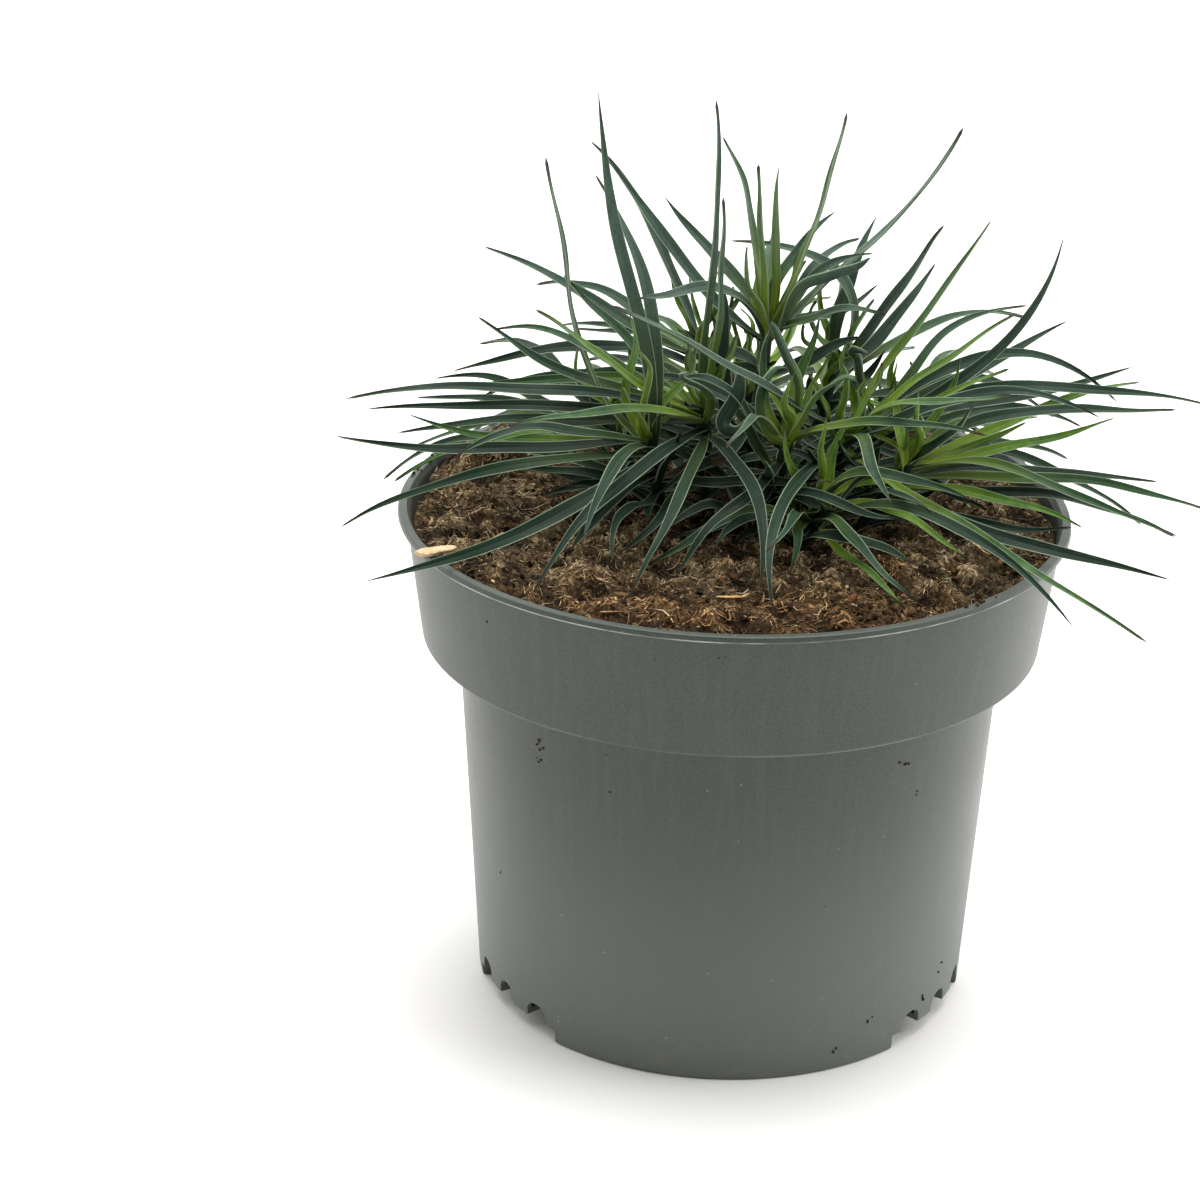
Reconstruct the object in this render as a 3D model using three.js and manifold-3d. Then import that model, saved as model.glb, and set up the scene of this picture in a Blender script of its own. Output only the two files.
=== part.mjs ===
// A dianthus plant, not in bloom, in its round plastic nursery pot filled with potting soil.
// Units are millimetres, +Z is up, and the origin is on the pot's axis where the pot stands.
//
// Nodes: the pot, the soil, a wood chip on the rim, and one node for each leafy shoot. A shoot
// is a short stem with its leaves fused to it, and it stands in a plain hole in the soil.

import * as THREE from 'three';
import { mergeVertices } from 'three/addons/utils/BufferGeometryUtils.js';
import Module from 'manifold-3d';

const wasm = await Module();
wasm.setup();

// ---- Pot ----------------------------------------------------------------------------------

const ROUND_SEGMENTS = 48;
const POT_HEIGHT = 127;
const WALL = 1.2;
const BODY_BOTTOM_RADIUS = 62.5;
const BODY_TOP_RADIUS = 68;
const COLLAR_BOTTOM = 94.5;
const COLLAR_BOTTOM_RADIUS = 77;
const COLLAR_TOP_RADIUS = 80.9;
const LIP_RADIUS = 83;
const LIP_HEIGHT = 1.5;
const LIP_CHAMFER = 0.4;
const COLLAR_CHAMFER = 0.8;
const FLOOR_THICKNESS = 1.6;

// Three channels under the floor leave three broad feet, and notches drain each channel.
const CHANNEL_HEIGHT = 4;
const CHANNEL_ANGLE = 36;
const CHANNEL_INNER_RADIUS = 40;
const CHANNEL_DIRECTIONS = [90, 210, 330];
const NOTCH_SPACING = 12;
const NOTCH_WIDTH = 7;
const NOTCH_TOP = 8.5;
const NOTCH_INNER_RADIUS = 57;
const CHANNEL_SEGMENTS = 8;

// ---- Soil ---------------------------------------------------------------------------------

const CONTACT_GAP = 0.4;
const SOIL_LEVEL = 123.4;
const SOIL_RINGS = [71, 62, 51, 39, 26, 13];
const SOIL_TOP_RADIUS = 79;
const SOIL_EDGE_DROP = 1.6;
const SOIL_EDGE_START = 60;
const SOIL_EDGE_WIDTH = 20;
const MOUND = { x: -61, y: 38, height: 6.5, spread: 12 };
const BACK_HEAP = { x: 52, y: 52, height: 3, spread: 16 };
const PIT = { x: -21, y: 5, height: -3.5, spread: 7 };

// Waves of the soil's top: height, then the rate along x and y, and the phase.
const SOIL_WAVES = [[0.6, 0.23, -0.31, 1], [0.4, 0.41, 0.37, 0]];
const SOIL_SWELL = { height: 0.8, rateX: 0.11, phaseX: 0.5, rateY: 0.13, phaseY: -0.7 };

// A splinter of wood that lies across the rim.
const CHIP = { length: 11, width: 3, thickness: 1.3, x: -71.5, y: -37, angle: 24 };

// The chip's outline, as shares of its half length and half width.
const CHIP_OUTLINE = [[-1, -0.3], [-0.5, -1], [0.7, -0.8], [1, 0.2], [0.3, 1], [-0.8, 0.6]];

// ---- Shoots -------------------------------------------------------------------------------

const STEM_RADIUS = 2.1;
const STEM_BOTTOM_SHARE = 1.05;
const STEM_TOP_SHARE = 0.85;
const STEM_ABOVE_HEART = 1.2;
const STEM_SIDES = 6;
const STEM_BOTTOM = 108;
const FOOT_HEIGHT = 120;
const HOLE_RADIUS = 2.8;
const HOLE_SIDES = 8;
const HOLE_ABOVE_SOIL = 8;

const LEAF_STATIONS = [0, 0.17, 0.38, 0.62, 0.83];
const SHORT_LEAF_STATIONS = [0, 0.3, 0.65];
const SHORT_LEAF = 44;
const LEAF_YOUNG_WIDTH = 2.3;
const LEAF_WIDTH_PER_AGE = 0.13;
const LEAF_WIDTH_SPREAD = 0.24;
const FILLER_WIDTH_SHARE = 0.92;
const LEAF_BASE_SHARE = 0.62;
const LEAF_WIDEST = 0.4;
const LEAF_TAPER = 1.8;

// Leaves that rise leave the heart, and leaves that hang leave the stem at this share of it.
const LOWEST_ROOT = 0.75;
const HANGING_RISE = 0.6;
const ROOT_SPACING = 0.5;
const ROOT_STEPS = 8;

// A leaf is thickest at its midrib, of which a quarter lies above the level of the blade.
const LEAF_MIDRIB_THICKNESS = 1.1;
const MIDRIB_ABOVE = 0.25;
const LEAF_CHANNEL = 0.6;
const TIP_THINNESS = 0.55;

// Leaves swing a little to both sides and up and down, filler leaves more than the others.
const LEAF_WAVE = 1.1;
const FILLER_WAVE = 2.4;
const LEAF_TWIST = 44 * Math.PI / 180;
const LIGHT_TURN = 42 * Math.PI / 180;
const LIGHT_TURN_SHARE = 0.35;

const CLEARING_ROUNDS = 90;
const CLEARING_SAMPLES = 14;
const CLEARING_STEP = 0.6;
const CLEARING_LIMIT = 2.5;
const CLEARING_GAP = 0.6;
const LEAST_GIVE = 0.06;
const LEAF_HALF_DEPTH = 0.95;
const SHARED_BASE = 0.25;
const GROUND_CLEARANCE = 1.4;
const RIM_INSIDE = 4;
const RIM_OUTSIDE = 2;
const TOUCHING_GAP = 0.25;
const LEAST_CROSSING = 0.01;

// A leaf that rests on the soil or the rim bows up there, and its tip moves by this share.
const RESTING_TIP_SHARE = 0.15;

// Every leaf is a row: tip x, y, z, then arch, sway and age. Arch bows the leaf towards its
// upper face and sway bows it sideways, both in millimetres. Age runs from 0, the youngest, to 9.
// Some rows go on: the share of the stem's height at the leaf's root, how far the leaf is turned
// about itself in degrees, and the swing up and down in millimetres.
// The foot is where the stem leaves the soil, and the heart is the growing point at its top.
// Filler gives the number of further leaves, their direction and half spread in degrees, how
// far they rise in degrees, and their least length. Below, a range is its start and its width.
const SHOOTS = [
  {
    name: 'shoot_left', foot: [-6, -1], heart: [-8, -2, 152], filler: [4, 200, 80, 12, 44],
    leaves: [
      [-94, -20, 158, 0, 0, 8], [-72, 10, 152, 6, 0, 4], [-91, 0, 150, 2, 0, 8],
      [-84, 10, 141, 4, 0, 7], [-49, -14, 181, 0, 0, 1], [-64, 6, 172, -4, 0, 6],
      [-43, 10, 182, 0, 0, 5], [-8, -4, 230, -1, 1, 6, 1, 55], [-6, -14, 209, -2, 0, 4, 1, 50],
      [-49, -57, 125, 4, 0, 9], [-26, -58, 125, 5, 4, 7], [4, -56, 126, 5, 4, 8],
    ],
  },
  {
    name: 'shoot_low_left', foot: [-17, -8], heart: [-21, -10, 147], filler: [3, 215, 60, -5, 44],
    leaves: [
      [-81, 6, 147, -3, 0, 3], [-97, -14, 148, -3, 0, 9], [-96, -18, 126, 6, 0, 7],
      [-88, -52, 123, -3, 8, 8], [-35, 8, 229, 2, 2, 7, 1, -26, 1.6], [-36, 16, 206, 6, -2, 7],
      [-47, 14, 211, -5, 0, 6, 1, 40, -1.8], [-40, -34, 127, 4, 0, 8],
    ],
  },
  {
    name: 'shoot_back_left', foot: [-8, 16], heart: [-7, 20, 158], filler: [5, 125, 50, -10, 46],
    leaves: [
      [-37, 16, 214, 3, 0, 8], [-63, 26, 184, 0, 0, 7], [-71, 34, 147, 5, 0, 9],
      [-60, 44, 145, -1, 0, 9], [-3, 14, 179, 0, 0, 9],
    ],
  },
  {
    name: 'shoot_top', foot: [3, 6], heart: [7, 6, 170], filler: [5, 90, 150, 26, 26],
    leaves: [
      [-5, 2, 219, 3, 0, 3], [4, 1, 213, 0, 1, 0], [7, 0, 213, 0, 0, 0],
      [23, -4, 227, -2, 0, 2], [23, 16, 197, 6, 0, 5], [31, 0, 192, 5, 0, 8],
      [-34, 14, 212, -3, 0, 8], [53, 20, 218, -2, 0, 7, 1, -5, 1.5], [36, 26, 175, -3, 0, 8],
    ],
  },
  {
    name: 'shoot_back_right', foot: [15, 11], heart: [24, 14, 156], filler: [5, 60, 50, -8, 46],
    leaves: [
      [35, 24, 194, 3, 0, 7], [49, 14, 195, 0, 0, 8],
      [50, 34, 179, -3, 0, 8], [-3, 14, 190, 16, 0, 7],
    ],
  },
  {
    name: 'shoot_right', foot: [18, -3], heart: [27, -6, 148], filler: [4, 320, 70, 16, 42],
    leaves: [
      [-32, -40, 189, -3, 0, 9], [58, -8, 203, 1, 0, 2], [76, -4, 198, -11, 0, 8],
      [65, -14, 182, 1, 0, 1], [65, -12, 167, 0, 0, 0], [82, 16, 170, -1, 0, 7],
      [95, 8, 152, 18, 0, 8], [116, 6, 153, 11, 0, 8], [99, 20, 158, 1, 0, 8],
      [92, -70, 119, -2, -9, 4], [7, -72, 126, 4, -8, 8],
    ],
  },
  {
    name: 'shoot_far_right', foot: [27, -10], heart: [41, -12, 142], filler: [3, 15, 60, 2, 46],
    leaves: [
      [93, 4, 150, -1, 0, 2], [99, 10, 157, 2, 0, 2], [71, 0, 150, -1, 0, 1],
      [119, 2, 126, 4, 0, 5], [108, 20, 127, 3, 0, 9], [110, 2, 119, 3, 0, 9],
      [83, -22, 130, 3, 0, 2], [103, -35, 120, -3, -12, 9],
    ],
  },
  {
    name: 'shoot_centre', foot: [6, -10], heart: [12, -12, 148], filler: [5, 250, 110, 20, 34],
    leaves: [
      [-15, -47, 126, 5, 3, 9], [-14, -18, 128, -4, 0, 9], [20, 4, 175, 0, 0, 3],
      [8, -10, 177, -4, 0, 4],
    ],
  },
  {
    name: 'shoot_front_low', foot: [13, -18], heart: [19, -20, 133], filler: [4, 270, 80, 0, 34],
    leaves: [
      [50, -25, 138, -1, 0, 1], [53, -47, 127, -2, 0, 1], [39, -63, 126, 1, 0, 2],
      [12, -44, 126, 4, 0, 4], [75, -72, 118, 3, 0, 7],
    ],
  },
  { name: 'shoot_back', foot: [2, 23], heart: [5, 31, 147], filler: [12, 90, 56, -13, 56], leaves: [] },
  {
    name: 'shoot_rear_left', foot: [-20, 9], heart: [-30, 17, 141], filler: [9, 130, 42, -14, 52],
    leaves: [],
  },
  {
    name: 'shoot_rear_right', foot: [27, 10], heart: [39, 17, 140], filler: [9, 50, 42, -14, 52],
    leaves: [],
  },
];

const RANDOM_SEED = 7;
const FILLER_SWING = 16;
const FILLER_RISES = [-10, 9, -3, 16];
const FILLER_LENGTH_SPREAD = 26;
const FILLER_ARCH = [3, 5];
const FILLER_AGE = [3, 6];

// Young leaves that stand up in the heart.
const TUFT_LEAVES = 3;
const TUFT_SWING = 40;
const TUFT_LIFT = [62, 12];
const TUFT_LENGTH = [20, 10];

// Short old leaves low on the stem, which lie out over the soil.
const SKIRT_LEAVES = 4;
const SKIRT_TURN = 84;
const SKIRT_SWING = 30;
const SKIRT_LENGTH = [34, 12];
const SKIRT_ARCH = [3, 3];
const SKIRT_AGE = [7, 2];
const SKIRT_TIP_ABOVE_SOIL = [3, 9];
const SKIRT_ROOT_LEVEL = 0.25;
const SKIRT_ROOT_STEP = 0.12;
const UP = new THREE.Vector3(0, 0, 1);

// ---- Helpers ------------------------------------------------------------------------------

// Random numbers from 0 to 1 that are the same in every run.
function seededRandom(seed) {
  let state = seed | 0;
  return () => {
    state = (state + 0x6D2B79F5) | 0;
    let mixed = Math.imul(state ^ (state >>> 15), 1 | state);
    mixed = (mixed + Math.imul(mixed ^ (mixed >>> 7), 61 | mixed)) ^ mixed;
    return ((mixed ^ (mixed >>> 14)) >>> 0) / 4294967296;
  };
}

function clamp(value, low, high) {
  return Math.min(high, Math.max(low, value));
}

function degrees(angle) {
  return angle * Math.PI / 180;
}

function within([start, width], share) {
  return start + width * share;
}

// A three.js geometry as a manifold solid.
function toSolid(geometry) {
  geometry.deleteAttribute('normal');
  geometry.deleteAttribute('uv');
  const merged = mergeVertices(geometry);
  const corners = merged.index.array;
  const triangles = [];
  for (let i = 0; i < corners.length; i += 3) {
    const [a, b, c] = [corners[i], corners[i + 1], corners[i + 2]];
    if (a !== b && b !== c && c !== a) triangles.push(a, b, c);
  }
  return new wasm.Manifold(new wasm.Mesh({
    numProp: 3,
    vertProperties: new Float32Array(merged.attributes.position.array),
    triVerts: new Uint32Array(triangles),
  }));
}

function toMesh(solid, name, color, roughness) {
  const data = solid.getMesh();
  const geometry = new THREE.BufferGeometry();
  geometry.setAttribute('position', new THREE.BufferAttribute(data.vertProperties, 3));
  geometry.setIndex(new THREE.BufferAttribute(data.triVerts, 1));
  geometry.computeVertexNormals();
  const material = new THREE.MeshStandardMaterial({ color, roughness, metalness: 0 });
  const mesh = new THREE.Mesh(geometry, material);
  mesh.name = name;
  return mesh;
}

// A solid of revolution about Z from points [radius, height] that start and end on the axis.
function revolve(profile) {
  const points = profile.map(([radius, height]) => new THREE.Vector2(radius, height));
  return new THREE.LatheGeometry(points, ROUND_SEGMENTS).rotateX(Math.PI / 2);
}

// A straight round bar with few sides between two points.
function bar(start, end, startRadius, endRadius, sides) {
  const along = end.clone().sub(start);
  const length = along.length();
  const turn = new THREE.Quaternion().setFromUnitVectors(
    new THREE.Vector3(0, 1, 0), along.normalize());
  const middle = start.clone().add(end).multiplyScalar(0.5);
  return new THREE.CylinderGeometry(endRadius, startRadius, length, sides)
    .applyQuaternion(turn)
    .translate(middle.x, middle.y, middle.z);
}

// ---- Pot ----------------------------------------------------------------------------------

function potShell() {
  const lipBottom = POT_HEIGHT - LIP_HEIGHT;
  const insideStep = COLLAR_BOTTOM + WALL;
  return toSolid(revolve([
    [0, 0],
    [BODY_BOTTOM_RADIUS, 0],
    [BODY_TOP_RADIUS, COLLAR_BOTTOM],
    [COLLAR_BOTTOM_RADIUS - COLLAR_CHAMFER, COLLAR_BOTTOM],
    [COLLAR_BOTTOM_RADIUS, COLLAR_BOTTOM + COLLAR_CHAMFER],
    [COLLAR_TOP_RADIUS, lipBottom],
    [LIP_RADIUS, lipBottom],
    [LIP_RADIUS, POT_HEIGHT - LIP_CHAMFER],
    [LIP_RADIUS - LIP_CHAMFER, POT_HEIGHT],
    [COLLAR_TOP_RADIUS, POT_HEIGHT],
    [COLLAR_TOP_RADIUS - WALL, lipBottom],
    [COLLAR_BOTTOM_RADIUS - WALL, insideStep],
    [BODY_TOP_RADIUS - WALL, insideStep],
    [BODY_BOTTOM_RADIUS - WALL, FLOOR_THICKNESS],
    [0, FLOOR_THICKNESS],
  ]));
}

// A block shaped like a slice of a ring, for the channels under the floor.
function ringSlice(direction, halfAngle, innerRadius, outerRadius, bottom, top) {
  const from = degrees(direction - halfAngle);
  const to = degrees(direction + halfAngle);
  const shape = new THREE.Shape();
  shape.absarc(0, 0, outerRadius, from, to, false);
  shape.absarc(0, 0, innerRadius, to, from, true);
  const block = new THREE.ExtrudeGeometry(shape, {
    depth: top - bottom, bevelEnabled: false, curveSegments: CHANNEL_SEGMENTS,
  });
  return toSolid(block.translate(0, 0, bottom));
}

function notch(direction) {
  const reach = BODY_TOP_RADIUS - NOTCH_INNER_RADIUS;
  const middle = NOTCH_INNER_RADIUS + reach / 2;
  const height = NOTCH_TOP + FLOOR_THICKNESS;
  return toSolid(new THREE.BoxGeometry(reach, NOTCH_WIDTH, height)
    .translate(middle, 0, NOTCH_TOP - height / 2)
    .rotateZ(degrees(direction)));
}

function makePot() {
  let pot = potShell();
  const half = CHANNEL_ANGLE / 2;
  const besideChannel = 1;
  const insideWall = BODY_BOTTOM_RADIUS - WALL / 2;
  for (const direction of CHANNEL_DIRECTIONS) {
    pot = pot
      .add(ringSlice(direction, half + besideChannel, CHANNEL_INNER_RADIUS - WALL, insideWall,
        FLOOR_THICKNESS / 2, CHANNEL_HEIGHT + FLOOR_THICKNESS))
      .subtract(ringSlice(direction, half, CHANNEL_INNER_RADIUS, LIP_RADIUS,
        -FLOOR_THICKNESS, CHANNEL_HEIGHT));
    for (const side of [-1, 0, 1]) {
      pot = pot.subtract(notch(direction + side * NOTCH_SPACING));
    }
  }
  return pot;
}

// ---- Soil ---------------------------------------------------------------------------------

function bump(place, x, y) {
  const distance = Math.hypot(x - place.x, y - place.y) / place.spread;
  return place.height * Math.exp(-distance * distance / 2);
}

// The height of the soil's uneven top above the ground.
function soilHeight(x, y) {
  const edge = clamp((Math.hypot(x, y) - SOIL_EDGE_START) / SOIL_EDGE_WIDTH, 0, 1);
  const { height, rateX, phaseX, rateY, phaseY } = SOIL_SWELL;
  const swell = height * Math.sin(rateX * x + phaseX) * Math.cos(rateY * y + phaseY);
  const waves = SOIL_WAVES.reduce((sum, [rise, alongX, alongY, phase]) => (
    sum + rise * Math.sin(alongX * x + alongY * y + phase)), 0);
  return SOIL_LEVEL - SOIL_EDGE_DROP * edge * edge + swell + waves
    + bump(MOUND, x, y) + bump(BACK_HEAP, x, y) + bump(PIT, x, y);
}

function soilBody() {
  const bodyBottom = BODY_BOTTOM_RADIUS - WALL - CONTACT_GAP;
  const bodyTop = BODY_TOP_RADIUS - WALL - CONTACT_GAP;
  const shelf = COLLAR_BOTTOM + WALL + CONTACT_GAP;
  const geometry = revolve([
    [0, FLOOR_THICKNESS + CONTACT_GAP],
    [bodyBottom, FLOOR_THICKNESS + CONTACT_GAP],
    [bodyTop, shelf],
    [COLLAR_BOTTOM_RADIUS - WALL - CONTACT_GAP, shelf],
    [SOIL_TOP_RADIUS, SOIL_LEVEL],
    ...SOIL_RINGS.map((radius) => [radius, SOIL_LEVEL]),
    [0, SOIL_LEVEL],
  ]);
  const position = geometry.attributes.position;
  for (let i = 0; i < position.count; i += 1) {
    if (Math.abs(position.getZ(i) - SOIL_LEVEL) < CONTACT_GAP) {
      position.setZ(i, soilHeight(position.getX(i), position.getY(i)));
    }
  }
  return toSolid(geometry);
}

function makeSoil(shoots) {
  let soil = soilBody();
  const besideChannel = 1.8;
  for (const direction of CHANNEL_DIRECTIONS) {
    soil = soil.subtract(ringSlice(direction, CHANNEL_ANGLE / 2 + besideChannel,
      CHANNEL_INNER_RADIUS - WALL - CONTACT_GAP, LIP_RADIUS,
      0, CHANNEL_HEIGHT + FLOOR_THICKNESS + CONTACT_GAP));
  }
  for (const shoot of shoots) {
    const down = stemPoint(shoot, STEM_BOTTOM - CONTACT_GAP);
    const above = stemPoint(shoot, SOIL_LEVEL + HOLE_ABOVE_SOIL);
    soil = soil.subtract(toSolid(bar(down, above, HOLE_RADIUS, HOLE_RADIUS, HOLE_SIDES)));
  }
  return soil;
}

function makeChip() {
  const half = CHIP.length / 2;
  const side = CHIP.width / 2;
  const outline = new THREE.Shape(CHIP_OUTLINE.map(([along, across]) => (
    new THREE.Vector2(half * along, side * across))));
  const block = new THREE.ExtrudeGeometry(outline, {
    depth: CHIP.thickness, bevelEnabled: false,
  });
  return toSolid(block
    .rotateZ(degrees(CHIP.angle))
    .translate(CHIP.x, CHIP.y, POT_HEIGHT + CONTACT_GAP));
}

// ---- Leaves -------------------------------------------------------------------------------

// The point on a shoot's stem axis at a height.
function stemPoint(shoot, height) {
  const [x, y, z] = shoot.heart;
  const share = (height - FOOT_HEIGHT) / (z - FOOT_HEIGHT);
  return new THREE.Vector3(
    shoot.foot[0] + (x - shoot.foot[0]) * share,
    shoot.foot[1] + (y - shoot.foot[1]) * share,
    height,
  );
}

// A leaf as a curve of three points. Leaves that rise start at the heart, others further down,
// at the share of the stem's height that a row may state as its seventh value.
function makeLeaf(shoot, index, row, order, random) {
  const [x, y, z, arch, sway, age, rootLevel, turned, bowed] = row;
  const tip = new THREE.Vector3(x, y, z);
  const heart = new THREE.Vector3(...shoot.heart);
  const rise = (tip.z - heart.z) / tip.distanceTo(heart);
  const level = rootLevel
    ?? LOWEST_ROOT + (1 - LOWEST_ROOT) * clamp(1 + rise / HANGING_RISE, 0, 1);
  const below = ROOT_SPACING * (order % ROOT_STEPS);
  const root = stemPoint(shoot, FOOT_HEIGHT + (heart.z - FOOT_HEIGHT) * level - below);
  const chord = tip.clone().sub(root);
  const heading = new THREE.Vector3(chord.x, chord.y, 0).normalize();
  const side = UP.clone().cross(heading);
  const upper = chord.clone().normalize().cross(side);
  const bend = root.clone().add(tip).multiplyScalar(0.5)
    .addScaledVector(upper, 2 * arch)
    .addScaledVector(side, 2 * sway);
  const isFiller = order >= shoot.leaves.length;
  const wave = isFiller ? FILLER_WAVE : LEAF_WAVE;
  const share = isFiller ? FILLER_WIDTH_SHARE : 1;
  const grown = (LEAF_YOUNG_WIDTH + LEAF_WIDTH_PER_AGE * age) * share;
  const twist = LEAF_TWIST * (random() - 0.5);
  const sideWave = wave * (2 * random() - 1);
  const upperWave = wave * (2 * random() - 1);
  return {
    shoot: index,
    isFiller,
    root,
    bend,
    tip,
    side,
    upper,
    turn: turned === undefined ? LIGHT_TURN * heading.x : degrees(turned),
    twist,
    sideWave,
    upperWave: bowed ?? upperWave,
    width: grown * (1 + LEAF_WIDTH_SPREAD * (random() - 0.5)),
  };
}

// A row for a leaf that leaves its shoot's heart in a direction, at a lift above the level.
function rowTowards(shoot, direction, lift, reach, arch, age) {
  const [x, y, z] = shoot.heart;
  const out = reach * Math.cos(degrees(lift));
  return [
    x + out * Math.cos(degrees(direction)),
    y + out * Math.sin(degrees(direction)),
    z + reach * Math.sin(degrees(lift)),
    arch, 0, age,
  ];
}

// The leaves that no row states: long ones spread round a direction, the tuft and the skirt.
function fillerRows(shoot, random) {
  const [count, direction, spread, rise, leastReach] = shoot.filler;
  const rows = [];
  for (let i = 0; i < count; i += 1) {
    const swing = spread * ((2 * i + 1) / count - 1) + FILLER_SWING * (random() - 0.5);
    const lift = rise + FILLER_RISES[i % FILLER_RISES.length];
    const reach = leastReach + FILLER_LENGTH_SPREAD * random();
    const arch = within(FILLER_ARCH, random());
    const age = within(FILLER_AGE, random());
    rows.push(rowTowards(shoot, direction + swing, lift, reach, arch, age));
  }
  for (let i = 0; i < TUFT_LEAVES; i += 1) {
    const turned = direction + 360 * i / TUFT_LEAVES + TUFT_SWING * random();
    const lift = within(TUFT_LIFT, random());
    const reach = within(TUFT_LENGTH, random());
    rows.push(rowTowards(shoot, turned, lift, reach, 0, random()));
  }
  for (let i = 0; i < SKIRT_LEAVES; i += 1) {
    const middle = (SKIRT_LEAVES - 1) / 2;
    const turned = direction + SKIRT_TURN * (i - middle) + SKIRT_SWING * (random() - 0.5);
    const reach = within(SKIRT_LENGTH, random());
    const arch = within(SKIRT_ARCH, random());
    const age = within(SKIRT_AGE, random());
    const row = rowTowards(shoot, turned, 0, reach, arch, age);
    row[2] = SOIL_LEVEL + within(SKIRT_TIP_ABOVE_SOIL, random());
    rows.push([...row, SKIRT_ROOT_LEVEL + SKIRT_ROOT_STEP * i]);
  }
  return rows;
}

function listLeaves() {
  const random = seededRandom(RANDOM_SEED);
  const leaves = [];
  SHOOTS.forEach((shoot, index) => {
    const rows = [...shoot.leaves, ...fillerRows(shoot, random)];
    rows.forEach((row, order) => leaves.push(makeLeaf(shoot, index, row, order, random)));
  });
  return leaves;
}

// Place and directions of a leaf at a share t of its length: along, across and out of its
// upper face. Leaves that grow to the sides turn their upper faces to the light at the front.
function leafFrame(leaf, t) {
  const s = 1 - t;
  const round = 2 * Math.PI;
  const swing = Math.sin(round * t);
  const swingSpeed = round * Math.cos(round * t);
  const point = leaf.root.clone().multiplyScalar(s * s)
    .addScaledVector(leaf.bend, 2 * s * t)
    .addScaledVector(leaf.tip, t * t)
    .addScaledVector(leaf.side, leaf.sideWave * swing)
    .addScaledVector(leaf.upper, leaf.upperWave * swing);
  const speed = leaf.bend.clone().sub(leaf.root).multiplyScalar(2 * s)
    .addScaledVector(leaf.tip.clone().sub(leaf.bend), 2 * t)
    .addScaledVector(leaf.side, leaf.sideWave * swingSpeed)
    .addScaledVector(leaf.upper, leaf.upperWave * swingSpeed);
  const length = speed.length();
  const along = speed.divideScalar(length);
  const level = leaf.side.clone().addScaledVector(along, -leaf.side.dot(along)).normalize();
  const raised = along.clone().cross(level);
  const turn = leaf.turn * Math.min(1, t / LIGHT_TURN_SHARE) + leaf.twist * t;
  const across = level.clone().multiplyScalar(Math.cos(turn))
    .addScaledVector(raised, Math.sin(turn));
  const upper = along.clone().cross(across);
  return { point, along, across, upper, length };
}

// How wide a leaf is at a share t of its length: widest before the middle, with a long tip.
function leafWidth(leaf, t) {
  if (t < LEAF_WIDEST) {
    const growth = Math.sin(t / LEAF_WIDEST * Math.PI / 2);
    return leaf.width * (LEAF_BASE_SHARE + (1 - LEAF_BASE_SHARE) * growth);
  }
  return leaf.width * (1 - ((t - LEAF_WIDEST) / (1 - LEAF_WIDEST)) ** LEAF_TAPER);
}

// ---- Clearing leaves from each other ------------------------------------------------------

// A row of boxes along a leaf, which stand for it while the leaves are moved clear.
function leafBoxes(leaf, number) {
  const boxes = [];
  for (let i = 0; i < CLEARING_SAMPLES; i += 1) {
    const t = (i + 0.5) / CLEARING_SAMPLES;
    const frame = leafFrame(leaf, t);
    boxes.push({
      owner: number,
      t,
      point: frame.point,
      axes: [frame.along, frame.across, frame.upper],
      halves: [frame.length / CLEARING_SAMPLES / 2, leafWidth(leaf, t) / 2, LEAF_HALF_DEPTH],
      reach: frame.length / CLEARING_SAMPLES / 2 + leafWidth(leaf, t) / 2,
    });
  }
  return boxes;
}

function stemBox(shoot) {
  const low = stemPoint(shoot, FOOT_HEIGHT);
  const high = new THREE.Vector3(...shoot.heart);
  const along = high.clone().sub(low);
  const half = along.length() / 2;
  along.normalize();
  const across = new THREE.Vector3(1, 0, 0).addScaledVector(along, -along.x).normalize();
  return {
    owner: -1,
    t: 0,
    point: low.add(high).multiplyScalar(0.5),
    axes: [along, across, along.clone().cross(across)],
    halves: [half, STEM_RADIUS, STEM_RADIUS],
    reach: half + STEM_RADIUS,
  };
}

function reachAlong(box, axis) {
  return box.halves[0] * Math.abs(box.axes[0].dot(axis))
    + box.halves[1] * Math.abs(box.axes[1].dot(axis))
    + box.halves[2] * Math.abs(box.axes[2].dot(axis));
}

// How deep two boxes overlap, and the shortest way out for the second one. Null if clear.
function boxContact(first, second, gap) {
  const far = first.reach + second.reach + gap;
  if (first.point.distanceToSquared(second.point) > far * far) return null;
  const between = second.point.clone().sub(first.point);
  const [alongA, acrossA, upperA] = first.axes;
  const [alongB, acrossB, upperB] = second.axes;
  for (const axis of [alongA, alongB]) {
    if (reachAlong(first, axis) + reachAlong(second, axis) < Math.abs(between.dot(axis))) {
      return null;
    }
  }
  const crossing = alongA.clone().cross(alongB);
  const waysOut = [upperA, upperB, acrossA, acrossB];
  if (crossing.lengthSq() > LEAST_CROSSING) waysOut.push(crossing.normalize());
  let best = null;
  for (const axis of waysOut) {
    const offset = between.dot(axis);
    const depth = reachAlong(first, axis) + reachAlong(second, axis) + gap - Math.abs(offset);
    if (depth <= 0) return null;
    if (best === null || depth < best.depth) {
      best = { depth, way: axis.clone().multiplyScalar(offset < 0 ? -1 : 1) };
    }
  }
  return best;
}

// The deepest contact between two rows of boxes.
function deepestContact(firstRow, secondRow, gap, leastShare) {
  let worst = null;
  for (const first of firstRow) {
    if (first.t < leastShare) continue;
    for (const second of secondRow) {
      if (second.t < leastShare && second.owner >= 0) continue;
      const contact = boxContact(first, second, gap);
      if (contact !== null && (worst === null || contact.depth > worst.depth)) {
        worst = { ...contact, first, second };
      }
    }
  }
  return worst;
}

// How far a leaf gives at a share t when its bend moves and its tip moves by a share.
function give(t, tipShare = 1) {
  const bendShare = 2 * t * (1 - t);
  return bendShare * bendShare + tipShare * t ** 4;
}

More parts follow.
